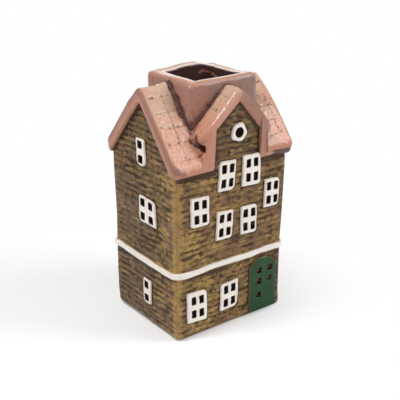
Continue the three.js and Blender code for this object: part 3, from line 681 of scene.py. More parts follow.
def make_wall(face):
    """One wall up to the roof, with its openings; the back wall has the doorway for the candle."""
    size = sizes()
    end = wall_ends(face)
    top = {"front": GABLE_INNER_TOP, "back": EAVE_HEIGHT}.get(face, RIDGE_HEIGHT - ROOF_DROP) + TALLER
    edges = [-end, end]
    if face == "back":
        edges += [-DOORWAY_HALF, DOORWAY_HALF]
    columns = stops(edges, WALL_STEPS[0] * size["grid"])
    rows = np.arange(FLOOR_TOP, top + size["grid"], WALL_STEPS[1] * size["grid"])

    def skins(s, z):
        outer, inner = wall_point(face, s, z, brick_relief(face, s, z)), lining_point(face, s, z)
        if face == "back":
            gap = arch(s, z, DOORWAY_HALF, DOORWAY_SPRING, DOORWAY_RISE)
            outer, inner = soften(outer, inner, np.maximum(gap, 0), DOORWAY_ROUNDING)
        return outer, inner

    points, faces, (s, z) = shell(columns, rows, lambda s, z: wall_region(face, s, z), skins)
    paint = {key: both(value) for key, value in wall_paint(face, s, z).items()}
    paint["inside"] = both(np.zeros(len(s)), 1.0)
    piece(f"{face}_brick_wall", points, faces, [f"{face}_wall"], brick_glaze(), paint)


def make_floor():
    """The slab under the walls: a profile carried round the plan, closed by a flat face above and below."""
    ring = []
    for face in FACES:
        end = wall_ends(face)
        count = math.ceil(2 * end / sizes()["grid"] / FLOOR_STEP)
        ring.append((face, np.linspace(-end, end, count)[:-1]))
    steps = 1 - np.cos(np.linspace(0, np.pi / 2, FLOOR_ROWS))
    heights = np.concatenate([FOOT_RADIUS * steps, np.linspace(FOOT_RADIUS, FLOOR_TOP, FLOOR_ROWS)[1:]])
    rows, coats = [], []
    for z in heights:
        parts = [(face, s, np.full_like(s, z)) for face, s in ring]
        sides = [wall_point(face, s, h, brick_relief(face, s, h)) for face, s, h in parts]
        rows.append(np.concatenate(sides))
        coats.append([wall_paint(face, s, h) for face, s, h in parts])
    points = np.stack([*rows, rows[-1] * [FLOOR_INSET, FLOOR_INSET, 1]])
    columns = points.shape[1]
    flat, faces = tube(points)
    caps = [list(range(columns))[::-1], list(range(len(flat) - columns, len(flat)))]
    paint = {}
    for key in coats[0][0]:
        values = np.zeros(points.shape[:2])
        values[:-1] = [np.concatenate([coat[key] for coat in row]) for row in coats]
        paint[key] = values.ravel()
    hidden = np.zeros(points.shape[:2])
    hidden[-1] = 1
    paint["inside"] = hidden.ravel()
    faces = faces[:-columns].tolist() + caps
    piece("foot_slab", flat, faces, ["floor_slab"], brick_glaze(), paint)


# The roof. The house was built by hand: its ridge sags on the right, is pressed flat on the left, and its
# slopes ride up in three places, each by so much, over these x and over these y
RIDGE_SOFTNESS = 1.0
RIDGE_SAG, RIDGE_SAG_FROM, RIDGE_SAG_WIDTH = 4.4, (22, 33), 13
RIDGE_RECOVERS, RIDGE_RECOVERS_FROM = 0.6, (38, VERGE)
VERGE_SAG, VERGE_SAG_FROM, VERGE_SAG_WIDTH = 2.4, (36, 44), 5
ROOF_LIFTS = [
    (3.0, (-10, 40), (RIDGE_Y, -26)),
    (1.7, (10, -VERGE), (RIDGE_Y + 2, 12)),
    (1.4, (-40, -VERGE), (-34, -EAVE)),
]
FLAT_DEPTH, FLAT_SOFTNESS = 0.8, 1.2
FLAT_FALL, FLAT_FALL_FROM = 1.9, (-26, -40)
FLAT_RISE, FLAT_RISE_FROM = 4, (-26, -20)

# The dormer's ridge runs askew. Its slopes are bowed on the right, and end in a round knee on the left and a
# sharp one on the right, over legs whose outer faces lie at these x. Pairs are left and right
GABLE_TOP, GABLE_SOFTNESS = 167.9, 1.1
GABLE_RIDGE_SHIFT, GABLE_RIDGE_SKEW = 0.6, 0.12
GABLE_SLOPES, GABLE_BOW = (0.98, 0.74), 0.0103
GABLE_LEGS = (-21.9, 25.2)
KNEE_ROUNDINGS, KNEE_TIGHTER, KNEE_TIGHTER_FROM = (5.0, 1.6), 2, (-40, -36)
LEG_STEEPNESS, LEG_STEEPER, LEG_STEEPER_FROM = (2.6, 12.0), 7, (-39, -36)
# Behind the front the slopes reach out past their legs, and the left leg is thinner over the pit
GABLE_OVERHANGS, GABLE_KNEE = (-6.0, 4.2), 137.5
OVERHANG_RISE, OVERHANG_EDGE = (0, 5), (0, 1.6)
OVERHANG_FROM, OVERHANG_FRONT, OVERHANG_BACK = (-11, 19), (-40, -36), (-28.5, -32.5)
OVERHANG_HEIGHTS, OVERHANG_PAST = (131, 135.5), (2.2, 1.4)
LEG_THINNER, LEG_THINNER_FROM = 2.4, (-39.5, -36)
# Clay smeared into the corner between the legs and the main slope
FILLET_RADII, FILLET_GAP, FILLET_ROOM, FILLET_FRONT = (4.2, 4.0), 1, (0, 7), (-33, -39)
VALLEY_SOFTNESS = 1.5

# Lines scored into the slopes, and how they break up into dashes
SCORE_WAVE = [(0.7, 11, 1, 0), (0.3, 4, 1, 1)]
SCORE_FORCE, SCORE_FORCE_SIZE, SCORE_FORCE_SPREAD = (-0.45, 0.5), 4.5, 7.3
SCORE_DASH, SCORE_DASH_SIZE, SCORE_DASH_SPREAD = (0.12, 0.5), 2.6, 5.1
SCORE_WIDTH, SCORE_LEAST, SCORE_DASH_WIDTH = 0.55, 0.25, 0.75
SCORE_LINE_WIDTH, SCORE_LINE_STRENGTH = 0.5, 0.5
LEVEL_SEED, FALL_SEED, GABLE_SEED = 33, 43, 53
ROOF_PITCH, GABLE_STRETCH = 1.2, 1.43
FALL_START, FALL_PITCH, FALL_STRENGTH, GABLE_START = 36, 13.0, 0.8, 2
ON_GABLE_SCORES, ON_GABLE_PAINT = 0.5, 1

# The groove round the collar, wider on its left, and the pit at the foot of the dormer's left leg
GROOVE_RAGGED = [(1.0, 2.4, 1, 71), (0.5, 1.1, 1, 72)]
GROOVE_WIDE, GROOVE_WIDER, GROOVE_WIDER_X, GROOVE_WIDER_Y = 1.0, 1.2, (-20, -25), (0, -8)
GROOVE_SOFT, GROOVE_ROUGH = 1.2, 1.3
PIT_START, PIT_RUN = (-28.0, -28.6), (6.8, -4.9)
PIT_WIDE, PIT_WIDER, PIT_ROUGH, PIT_SOFT, PIT_BELOW = 0.1, 0.8, 0.8, 0.8, (6.0, 3.0)
PIT_DEPTH = 1.4

# Rims and underside
RIM_ROUNDING = 2.8
RIM_CORNERS = (4.5, 3.0, 2.0, 6.5)
ROOF_WANDER = [(1.0, 19, 1, 31), (0.4, 6, 1, 32)]
SCORE_MARGIN = (2.5, 6)
STEEP_FROM, STEEP_STEP, STEEP_CLOSING = (1.6, 4), 0.05, (0.5, 0.12)
EAVE_DRAWN, EAVE_SPREAD, SOFFIT_SLOPE = HALF_DEPTH - 6, 0.86, 0.62
UNDER_FOLLOWS, THINNEST = 0.4, 0.45
SOFFIT_DROP, SOFFIT_DROP_X, SOFFIT_DROP_Y = 1.5, (32, 44), (-34, -40)
OPENING_MARGIN = 0.1

# The glaze of the roof, with painted shade: mauve-brown on some rims, plum on the underside and near some
# eaves, and wine in the seams along with gathered glaze
BLUSH_PLACE, BLUSH_FLAT, BLUSH_SIZE, BLUSH_EDGE, BLUSH_EDGES = (-20.5, -30), 0.8, 8, (9, 3), (0.2, 0.4)
BROWN_SHADE_X, BROWN_SHADE_Y, BROWN_SHADE_EDGE = (2, 5), (4, 12), (4.0, 1.0)
VERGE_EDGE, VERGE_FROM, VERGE_SHADE = (2.4, 0.8), -40, 0.3
BROWN_SHADE_LEG_X, BROWN_SHADE_LEG_HEIGHT = (23.5, 25), (139, 136)
SEAM_LEAST, SEAM_LEFT = 0.6, (0, -8)
SEAM_LEFT_MARGIN = 4
SCORED_EDGE, SCORED_GABLE = (2.0, 4.5), (-19, -14)
PINK_EDGE, PINK_STRENGTH, HIGH_FROM = (3.5, 0.4), 0.7, (118, 166)
# Painted shade, mixed to plum: under the right front eave, on the dormer's right rim, along the rims of the
# underside and a little on the left verges
EAVE_STRIP, EAVE_SHADED = 3, (31, 34)
GABLE_RIGHT_SHADE, GABLE_RIGHT_SHADE_X, GABLE_RIGHT_SHADE_EDGE = 0.24, (3, 8), (3.0, 1.0)
UNDER_EDGE = (0.8, 3.0)
UNDERSIDE = {"score": 0.0, "seam": 0.0, "edge": 1.0, "high": 0.0, "blush": 0.3, "brown": 0.3}

# How the slabs are cut up: where the dormer ends to both sides, and how fine their grids are
SPLIT_LEFT, SPLIT_RIGHT = -25.7, 32.0
WING_OVERLAP, BORE_MARGIN = 5, 0.35
ROOF_STEPS, DORMER_STEPS = (0.85, 0.72), (0.85, 0.36)
FINE_LEFT, FINE_RIGHT = -17.0, 20.0
ROOF_CREASE = 50.0


def roof_slope(y):
    """Slope of the main roof, in front of the ridge and behind it."""
    run = np.where(y < RIDGE_Y, HALF_DEPTH + RIDGE_Y, HALF_DEPTH - RIDGE_Y)
    return (RIDGE_HEIGHT - ROOF_AT_WALL) / run


def roof_height(y):
    """Height of the main roof: a hyperbola whose arms are the two slopes, so that the ridge is round."""
    return RIDGE_HEIGHT - np.hypot(roof_slope(y) * (y - RIDGE_Y), RIDGE_SOFTNESS)


def main_height(x, y):
    """The main roof as it was built by hand, with what its ridge sags and its corners ride up."""
    from_ridge = y - RIDGE_Y
    recovered = 1 - RIDGE_RECOVERS * smooth(*RIDGE_RECOVERS_FROM, x)
    sag = RIDGE_SAG * smooth(*RIDGE_SAG_FROM, x) * recovered * bell(from_ridge, RIDGE_SAG_WIDTH)
    sag = sag + VERGE_SAG * smooth(*VERGE_SAG_FROM, x) * bell(from_ridge, VERGE_SAG_WIDTH)
    height = roof_height(y) - sag
    for lift, over_x, over_y in ROOF_LIFTS:
        height = height + lift * smooth(*over_x, x) * smooth(*over_y, y)
    flat = RIDGE_HEIGHT - FLAT_DEPTH - FLAT_FALL * smooth(*FLAT_FALL_FROM, x)
    return -soft_max(-height, -flat - FLAT_RISE * smooth(*FLAT_RISE_FROM, x), FLAT_SOFTNESS)


def gable_ridge(y):
    """The ridge of the dormer runs a little askew."""
    return DORMER_X - GABLE_RIDGE_SHIFT - GABLE_RIDGE_SKEW * (COLLAR_LOW[1] - y)


def gable_leg(y):
    """Outer face of the dormer's left leg, which is thinner over the pit."""
    thinner = LEG_THINNER * smooth(*LEG_THINNER_FROM, y)
    return GABLE_LEGS[0] + thinner + GABLE_OVERHANGS[0] * smooth(*OVERHANG_BACK[::-1], y)


def overhang(x, y):
    """How far the dormer's slopes reach out past their legs, from a little behind the front."""
    behind = smooth(*OVERHANG_RISE, GABLE_KNEE - main_height(x, y))
    right = smooth(OVERHANG_FROM[1], GABLE_LEGS[1], x) * smooth(*OVERHANG_EDGE, edge_gap(x, y)) * behind
    left = smooth(OVERHANG_FROM[0], gable_leg(y), x) * smooth(*OVERHANG_FRONT, y) * smooth(*OVERHANG_BACK, y)
    return np.where(x < DORMER_X, GABLE_OVERHANGS[0] * left, GABLE_OVERHANGS[1] * right)


def gable_height(x, y):
    """Top of the dormer: two slopes that end in knees, a round one on the left, a sharp one on the right."""
    across = x + overhang(x, y) - gable_ridge(y)
    left = across < 0
    fall = np.where(left, *GABLE_SLOPES) * across + np.where(left, 0, GABLE_BOW) * across**2
    slope = GABLE_TOP - np.hypot(fall, GABLE_SOFTNESS)
    inside = np.where(left, x - gable_leg(y), GABLE_LEGS[1] - x)
    tighter = KNEE_TIGHTER * smooth(*KNEE_TIGHTER_FROM, y)
    knee = closing(inside, np.where(left, KNEE_ROUNDINGS[0] - tighter, KNEE_ROUNDINGS[1]))
    steeper = LEG_STEEPER * smooth(*LEG_STEEPER_FROM, y)
    steepness = np.where(left, LEG_STEEPNESS[0] + steeper, LEG_STEEPNESS[1])
    return slope - knee + steepness * np.minimum(inside, 0)


def gable_inner(x):
    """Height of the underside of the dormer's slopes."""
    across = x - GABLE_INNER_X
    return GABLE_INNER_TOP - np.where(across < 0, *GABLE_INNER_SLOPES) * np.abs(across)


def gable_opening(x):
    """Distance past the inner faces of the dormer's legs, negative between them."""
    return np.maximum(GABLE_INNER_LEGS[0] - x, x - GABLE_INNER_LEGS[1])


def roof_top(x, y):
    """Height of the roofs: in front the dormer grows out of the main slope with a fillet along its legs."""
    main = main_height(x, y)
    room = smooth(*FILLET_ROOM, KNEE_HEIGHT - main)
    left = closing(GABLE_LEGS[0] - FILLET_GAP - x, FILLET_RADII[0]) * (x < DORMER_X)
    left = left * smooth(*FILLET_FRONT, y)
    right = closing(x - GABLE_LEGS[1], FILLET_RADII[1]) * (x > DORMER_X)
    front = soft_max(main + (left + right) * room, gable_height(x, y), VALLEY_SOFTNESS)
    return np.where(y < RIDGE_Y, front, main)


def edge_gap(x, y):
    """Distance from the rims of the roofs, whose corners are round in plan."""
    return -rounded_box(x, y, (VERGE, EAVE), RIM_CORNERS)


def collar_gap(x, y):
    """Distance in plan from the foot of the collar, negative under it."""
    shape = [COLLAR_FOOT_RADIUS] * 4
    return rounded_box(x - COLLAR_CENTRE[0], y - COLLAR_CENTRE[1], COLLAR_HALF, shape)


def scores(a, b, pitch, seed):
    """Lines scored at even values of a: how deep they are and how dark each stretch along b is."""
    a = a + layers(a, b, SCORE_WAVE, seed)
    number = np.round(a / pitch)
    line = np.abs(a - number * pitch)
    force = smooth(*SCORE_FORCE, ripple(b, number * SCORE_FORCE_SPREAD, SCORE_FORCE_SIZE, seed + 2))
    dash = smooth(*SCORE_DASH, ripple(b, number * SCORE_DASH_SPREAD, SCORE_DASH_SIZE, seed + 3))
    cut = bell(line, SCORE_WIDTH) * (SCORE_LEAST + (1 - SCORE_LEAST) * force)
    thin = bell(line, SCORE_LINE_WIDTH) * force * SCORE_LINE_STRENGTH
    return cut, np.maximum(thin, bell(line, SCORE_DASH_WIDTH) * dash)


def score_map(x, y):
    """The scored lines of the main slopes and of the dormer, whichever is on top."""
    tile = sizes()["tile"]
    down = (y - RIDGE_Y) * math.hypot(1, ROOF_PITCH)
    beside = np.abs(x - gable_ridge(y)) * GABLE_STRETCH + GABLE_START
    level, fall = scores(down, x, tile, LEVEL_SEED), scores(x + FALL_START, down, FALL_PITCH, FALL_SEED)
    gable = scores(beside, y, tile, GABLE_SEED)
    on_gable = (y < RIDGE_Y) & (gable_height(x, y) > main_height(x, y) + ON_GABLE_SCORES)
    return [np.where(on_gable, g, np.maximum(a, FALL_STRENGTH * b)) for g, a, b in zip(gable, level, fall)]


def groove(x, y):
    """The groove round the collar and the pit at the foot of the dormer's left leg, from 0 to 1."""
    ragged = layers(x, y, GROOVE_RAGGED)
    wide = GROOVE_WIDE + GROOVE_WIDER * smooth(*GROOVE_WIDER_X, x) * smooth(*GROOVE_WIDER_Y, y)
    collar = around(collar_gap(x, y) - wide + GROOVE_ROUGH * ragged, GROOVE_SOFT)
    a, b = x - PIT_START[0], y - PIT_START[1]
    t = np.clip((a * PIT_RUN[0] + b * PIT_RUN[1]) / (PIT_RUN[0] ** 2 + PIT_RUN[1] ** 2), 0, 1)
    far = np.hypot(a - t * PIT_RUN[0], b - t * PIT_RUN[1])
    pit = around(far - PIT_WIDE - PIT_WIDER * t + PIT_ROUGH * ragged, PIT_SOFT)
    return collar, pit * smooth(*PIT_BELOW, roof_top(x, y) - main_height(x, y))


def roof_outside(x, y):
    """Outer points of the roofs, with rounded rims, scored lines, grooves and the dormer's overhangs."""
    size = sizes()
    collar, pit = groove(x, y)
    cut, _ = score_map(x, y)
    edge = np.maximum(edge_gap(x, y), 0)
    steep = (roof_top(x + STEEP_STEP, y) - roof_top(x - STEEP_STEP, y)) / (2 * STEEP_STEP)
    sunk = size["score_depth"] * cut * smooth(*SCORE_MARGIN, edge)
    sunk = sunk + size["groove_depth"] * (collar + PIT_DEPTH * pit)
    height = roof_top(x, y) + size["wobble"] * layers(x, y, ROOF_WANDER) - sunk
    close = closing(edge, RIM_ROUNDING)
    aside = smooth(*STEEP_FROM, np.abs(steep))
    on_left = x <= DORMER_X
    past = np.where(on_left, gable_leg(y) - x, x - GABLE_LEGS[1])
    reach = overhang(x, y) * smooth(*OVERHANG_HEIGHTS, height) * smooth(*OVERHANG_PAST, past)
    drawn_in = np.where(on_left, *STEEP_CLOSING) * np.sign(steep) * close * aside
    return np.stack([x + drawn_in + reach, y, height - close * (1 - aside)], -1), height, close


def roof_skins(x, y):
    """Outer and inner points of the roofs: the underside follows the slopes and turns down to the eaves."""
    outer, height, close = roof_outside(x, y)
    inner_y = np.sign(y) * (EAVE_DRAWN + EAVE_SPREAD * (np.abs(y) - EAVE_DRAWN))
    inner_y = np.where(np.abs(y) > EAVE_DRAWN, inner_y, y)
    soffit = EAVE_HEIGHT + SOFFIT_SLOPE * (np.abs(inner_y) - HALF_DEPTH)
    under = np.where(np.abs(inner_y) > HALF_DEPTH, soffit, roof_height(inner_y) - ROOF_DROP)
    under = under + UNDER_FOLLOWS * (main_height(x, y) - roof_height(y))
    under = under - SOFFIT_DROP * smooth(*SOFFIT_DROP_X, x) * smooth(*SOFFIT_DROP_Y, y)
    opening = (gable_opening(x) < 0) & (y < COLLAR_COVER + OPENING_MARGIN)
    under = np.where(opening, gable_inner(x), under)
    return outer, np.stack([x, inner_y, under + np.minimum(close, THINNEST * (height - under))], -1)


def roof_paint(x, y):
    """Scores, seams dark with gathered glaze and painted shade, pink edges, brown painted shade on some
    rims, and painted shade under the eaves and on the underside.
    """
    collar, pit = groove(x, y)
    _, dark = score_map(x, y)
    edge = np.maximum(edge_gap(x, y), 0)
    top = roof_top(x, y)
    on_gable = (top > main_height(x, y) + ON_GABLE_PAINT) & (y < RIDGE_Y)
    blush = bell(np.hypot(x - BLUSH_PLACE[0], (y - BLUSH_PLACE[1]) * BLUSH_FLAT), BLUSH_SIZE)
    blush = blush + np.where(on_gable, *BLUSH_EDGES) * smooth(*BLUSH_EDGE, edge)
    # Brown is painted shade: on the dormer's right half, on the rims of the back slope, on the left verges
    # and on the dormer's right leg
    brown = np.where(on_gable, smooth(*BROWN_SHADE_X, x), smooth(*BROWN_SHADE_Y, y)) * smooth(*BROWN_SHADE_EDGE, edge)
    verge = smooth(*VERGE_EDGE, edge) * (x < VERGE_FROM)
    right_leg = on_gable * smooth(*BROWN_SHADE_LEG_X, x) * smooth(*BROWN_SHADE_LEG_HEIGHT, top)
    on_left = smooth(*SEAM_LEFT, x - COLLAR_LOW[0] - SEAM_LEFT_MARGIN)
    values = {
        "score": dark * smooth(*SCORED_EDGE, edge) * np.where(on_gable, smooth(*SCORED_GABLE, x), 1),
        # Seams: glaze gathered in the groove round the collar and in the pit, with painted shade
        "seam": np.clip(collar * (SEAM_LEAST + (1 - SEAM_LEAST) * on_left) + pit, 0, 1),
        "edge": PINK_STRENGTH * smooth(*PINK_EDGE, edge),
        "high": smooth(*HIGH_FROM, top),
        "blush": np.clip(blush, 0, 1),
        "brown": np.clip(np.maximum.reduce([brown, right_leg, verge]), 0, 1),
    }
    paint = {key: both(value, UNDERSIDE[key]) for key, value in values.items()}
    # Painted shade on the underside, under the right front eave and on the dormer's right rim
    eave = (y < RIDGE_Y) & (EAVE + y < EAVE_STRIP)
    gable_right_shade = GABLE_RIGHT_SHADE * on_gable * smooth(*GABLE_RIGHT_SHADE_X, x) * smooth(*GABLE_RIGHT_SHADE_EDGE, edge)
    beneath = np.maximum.reduce([smooth(*UNDER_EDGE, edge), eave * smooth(*EAVE_SHADED, x), gable_right_shade])
    paint["under"] = np.concatenate([np.maximum(VERGE_SHADE * verge, gable_right_shade), beneath])
    return paint


def make_roof(name, node, columns, rows, region):
    """One slab of the roofs over a grid in plan, where region(x, y) is negative."""
    points, faces, (x, y) = shell(columns, rows, region, roof_skins)
    piece(name, points, faces, [node], roof_glaze(), roof_paint(x, y), ROOF_CREASE)


def make_main_roof():
    """Three slabs: left and right of the dormer in front, and the whole of the back."""
    across, along = [share * sizes()["grid"] for share in ROOF_STEPS]
    front = eased(-EAVE, RIDGE_Y, along, RIM_ROUNDING, (True, False))
    back = eased(RIDGE_Y, EAVE, along, RIM_ROUNDING, (False, True))
    left = eased(-VERGE, COLLAR_LOW[0] + WING_OVERLAP, across, RIM_ROUNDING, (True, False))
    right = eased(COLLAR_HIGH[0] - WING_OVERLAP, VERGE, across, RIM_ROUNDING, (False, True))
    whole = eased(-VERGE, VERGE, across, RIM_ROUNDING)

    def left_region(x, y):
        return np.maximum(-edge_gap(x, y), np.minimum(x - SPLIT_LEFT, COLLAR_COVER - y))

    def right_region(x, y):
        return np.maximum(-edge_gap(x, y), np.minimum(SPLIT_RIGHT - x, COLLAR_COVER - y))

    def back_region(x, y):
        bore = rounded_box(x - BORE_CENTRE[0], y - BORE_CENTRE[1], BORE_HALF, [BORE_RADIUS] * 4)
        return np.maximum(-edge_gap(x, y), BORE_MARGIN - bore)

    make_roof("roof_slab_front_left", "roof_front_left", left, front, left_region)
    make_roof("roof_slab_front_right", "roof_front_right", right, front, right_region)
    make_roof("roof_slab_back", "roof_back", whole, back, back_region)


def make_dormer():
    """Two halves that meet at the ridge, from the front back to the collar that covers their end."""
    coarse, fine = [share * sizes()["grid"] for share in DORMER_STEPS]
    rows = eased(-EAVE, COLLAR_COVER, coarse, RIM_ROUNDING, (True, False))
    left = [stops([SPLIT_LEFT, FINE_LEFT], fine)[:-1], stops([FINE_LEFT, GABLE_INNER_X], coarse)]
    right = [stops([GABLE_INNER_X, FINE_RIGHT], coarse)[:-1], stops([FINE_RIGHT, SPLIT_RIGHT], fine)]

    def whole(x, y):
        return np.full(np.shape(x), -1.0)

    make_roof("dormer_left", "dormer_roof_left", np.concatenate(left), rows, whole)
    make_roof("dormer_right", "dormer_roof_right", np.concatenate(right), rows, whole)


# The collar. The top of its rim lies at a share of the way from outside to bore, its shoulder is rounded and
# both are wider in front than at the back
COLLAR_CREST = COLLAR_HIGH[2]
COLLAR_RIM_RADIUS = 4.0
COLLAR_CREST_SHARE, COLLAR_SHOULDER, COLLAR_LIP = (0.26, 0.46), (2.6, 4.6), 1.7
COLLAR_FRONT = (12, -22)
LIP_START, LIP_DROP = 0.86, 0.3
FOOT_SUNK, BORE_SUNK = 1.4, 0.6
BORE_BEHIND, BORE_BELOW_KNEE = 8, 4
COLLAR_COLUMNS = 480
COLLAR_ROWS = {"outside": 64, "shoulder": 24, "rim": 20, "lip": 12, "bore": 30}
# How far inside each ring counts, from 0 outside to 1 in the dark of the bore
INSIDE_RIM, INSIDE_LIP, INSIDE_BORE, BORE_DARKENS, OUTSIDE = 0.1, 0.5, 0.4, 2.5, 0.05

# The seam at its foot, its wandering sides and the tilt of its rim, in millimetres
AROUND_STEP = 0.42
SEAM_RAGGED = [(1.3, 3.4, 1, 63), (0.6, 1.3, 1, 64)]
SEAM_HEIGHT, SEAM_HIGHER_LEFT, SEAM_ROUGH, SEAM_SOFT = 1.0, 0.8, 1.6, 2.0
SEAM_LEFT_SIDE, SEAM_RIGHT_STRENGTH, SEAM_CUT = (6, 0), 0.7, 0.5
COLLAR_WANDER = [(1.0, 18, 1, 61), (0.5, 6, 1, 62)]
FLARE, FLARE_HEIGHT = 0.9, 3.0
TILT_BACK, TILT_LEFT, TILT_LEFT_FROM, TILT_RIGHT, TILT_RIGHT_FROM = 1.3, 1.3, (2, -10), 2.9, (12, 26)
TILT_FRONT, TILT_FROM = 2.5, 148
TILT_WAVE = [(0.35, 14, 1, 65)]
FOOT_SHIFT, FOOT_SHIFT_Z, FOOT_SHIFT_Y, FOOT_SHIFT_X = 0.8, (168, 141), (-4, -18), (-15, -24)
GREY_SIDE = (-20, -8)

# A string of glaze inside the bore, from its back wall over to its right one
DRIP = [(13, 16.8, 166), (16, 16.8, 168), (22.8, 16.8, 167.4), (22.8, 12.1, 165.6), (22.8, 7.7, 164.5)]
DRIP_WIDTH = 0.55


def between(pair, share):
    """From the first value to the second."""
    return pair[0] + (pair[1] - pair[0]) * share


def collar_path():
    """Signs and directions round a rounded rectangle, anticlockwise, to be stretched to any size."""
    quadrants = [(1, 1), (-1, 1), (-1, -1), (1, -1)]
    count = COLLAR_COLUMNS // (2 * len(quadrants))
    run = np.linspace(0, 1, count, endpoint=False)
    parts = []
    for k, (a, b) in enumerate(quadrants):
        turn = (run + k) * np.pi / 2
        parts.append([np.full(count, a), np.full(count, b), np.cos(turn), np.sin(turn)])
        next_a, next_b = quadrants[(k + 1) % len(quadrants)]
        end = np.full(count, (k + 1) * np.pi / 2)
        parts.append([a + (next_a - a) * run, b + (next_b - b) * run, np.cos(end), np.sin(end)])
    return np.concatenate(parts, axis=1)


def collar_ring(path, inward, radius):
    """A rounded rectangle whose size and middle lie between those of the collar and of its bore."""
    sx, sy, cx, cy = path
    half, centre = between((COLLAR_HALF, BORE_HALF), inward), between((COLLAR_CENTRE, BORE_CENTRE), inward)
    if np.ndim(inward):
        half, centre = half.T, centre.T
    x = centre[0] + (half[0] - radius) * sx + radius * cx
    return x, centre[1] + (half[1] - radius) * sy + radius * cy


def drip_gap(x, y, z):
    """Distance from the string of glaze that ran down inside the bore."""
    point = np.stack([x, y, z], -1)
    gaps = []
    for start, end in zip(DRIP[:-1], DRIP[1:]):
        start, run = np.array(start), np.subtract(end, start)
        t = np.clip((point - start) @ run / (run @ run), 0, 1)
        gaps.append(np.linalg.norm(point - start - t[..., None] * run, axis=-1))
    return np.minimum.reduce(gaps)


def collar_rows():
    """The rings of the collar from its foot up, over the rim and down the bore.

    With them comes for each ring how far up the rim and how far inside it lies, each from 0 to 1.
    """
    path = collar_path()
    rings = {key: np.linspace(0, 1, count) for key, count in COLLAR_ROWS.items()}
    foot_x, foot_y = collar_ring(path, 0, COLLAR_FOOT_RADIUS)
    front = smooth(*COLLAR_FRONT, foot_y)
    share, rounding = between(COLLAR_CREST_SHARE, front), between(COLLAR_SHOULDER, front)
    base, shoulder = roof_top(foot_x, foot_y) - FOOT_SUNK, COLLAR_CREST - rounding
    rows, tags = [], []
    for t in rings["outside"][:-1]:
        rows.append((foot_x, foot_y, between((base, shoulder), t)))
        tags.append((0.0, 0.0))
    for t in rings["shoulder"]:
        turn = t * np.pi / 2
        inward = (share * (1 - np.cos(turn)))[:, None]
        x, y = collar_ring(path, inward, between((COLLAR_FOOT_RADIUS, COLLAR_RIM_RADIUS), t))
        rows.append((x, y, shoulder + rounding * np.sin(turn)))
        tags.append((t, 0.0))
    for t in rings["rim"][1:]:
        inward = between((share, LIP_START), t)[:, None]
        x, y = collar_ring(path, inward, between((COLLAR_RIM_RADIUS, BORE_RADIUS), t))
        rows.append((x, y, np.full_like(x, COLLAR_CREST - LIP_DROP * t)))
        tags.append((1.0, INSIDE_RIM * t))
    for t in rings["lip"][1:]:
        turn = t * np.pi / 2
        x, y = collar_ring(path, between((LIP_START, 1), np.sin(turn)), BORE_RADIUS)
        rows.append((x, y, np.full_like(x, COLLAR_CREST - LIP_DROP - COLLAR_LIP * (1 - np.cos(turn)))))
        tags.append((1.0, INSIDE_RIM + INSIDE_LIP * t))
    x, y = collar_ring(path, 1, BORE_RADIUS)
    end = roof_height(y) - ROOF_DROP - BORE_SUNK
    end = np.where(y < COLLAR_COVER + BORE_BEHIND, np.minimum(end, KNEE_HEIGHT - BORE_BELOW_KNEE), end)
    for t in rings["bore"][1:]:
        rows.append((x, y, between((COLLAR_CREST - LIP_DROP - COLLAR_LIP, end), t)))
        tags.append((1.0, INSIDE_RIM + INSIDE_LIP + INSIDE_BORE * min(1.0, BORE_DARKENS * t)))
    return np.stack([np.stack(row, -1) for row in rows]), np.array(tags)


def make_collar():
    """A square tube whose profile runs up the outside, over the rim and down the bore.

    The rim is wider and rounder in front than at the back, and it dips towards the front and to the right.
    """
    size = sizes()
    points, tags = collar_rows()
    x, y, z = np.moveaxis(points, -1, 0)
    rim, inside = [np.broadcast_to(tags[:, k, None], x.shape) for k in (0, 1)]
    along = np.arange(x.shape[1])[None, :] * AROUND_STEP
    outside, above = inside < OUTSIDE, z - roof_top(x, y)
    left_side = smooth(*SEAM_LEFT_SIDE, x - COLLAR_LOW[0])
    seam = above - SEAM_HEIGHT - SEAM_HIGHER_LEFT * left_side + SEAM_ROUGH * layers(along, z, SEAM_RAGGED)
    seam = around(seam, SEAM_SOFT) * outside
    flare = FLARE * np.clip(1 - above / FLARE_HEIGHT, 0, 1) ** 2
    wander = size["wobble"] * layers(along, z, COLLAR_WANDER)
    shift = (wander + flare - SEAM_CUT * size["groove_depth"] * seam) * outside
    outwards = np.stack([x - COLLAR_CENTRE[0], y - COLLAR_CENTRE[1]], -1)
    outwards = outwards / np.linalg.norm(outwards, axis=-1, keepdims=True)
    back = TILT_BACK + TILT_LEFT * smooth(*TILT_LEFT_FROM, x) + TILT_RIGHT * smooth(*TILT_RIGHT_FROM, x)
    tilt = between((back, TILT_FRONT), smooth(*COLLAR_FRONT, y) ** 2) + layers(along, x * 0, TILT_WAVE)
    tilt = np.maximum(tilt, 0) * smooth(TILT_FROM, COLLAR_CREST, z)
    foot = FOOT_SHIFT * smooth(*FOOT_SHIFT_Z, z) * smooth(*FOOT_SHIFT_Y, y) * smooth(*FOOT_SHIFT_X, x)
    foot = foot * outside
    moved = np.stack([x + outwards[..., 0] * shift - foot, y + outwards[..., 1] * shift, z - tilt], -1)
    flat, faces = tube(moved)
    paint = {
        "rim": rim,
        "inside": inside,
        # The seam at the foot: glaze gathered there, with painted shade
        "seam": seam * between((SEAM_RIGHT_STRENGTH, 1), left_side),
        "drip": bell(drip_gap(x, y, z), DRIP_WIDTH) * (1 - outside),
        "side": smooth(*GREY_SIDE, x - COLLAR_CENTRE[0]),
    }
    paint = {key: values.ravel() for key, values in paint.items()}
    piece("square_collar", flat, faces, ["chimney_collar"], collar_glaze(), paint)


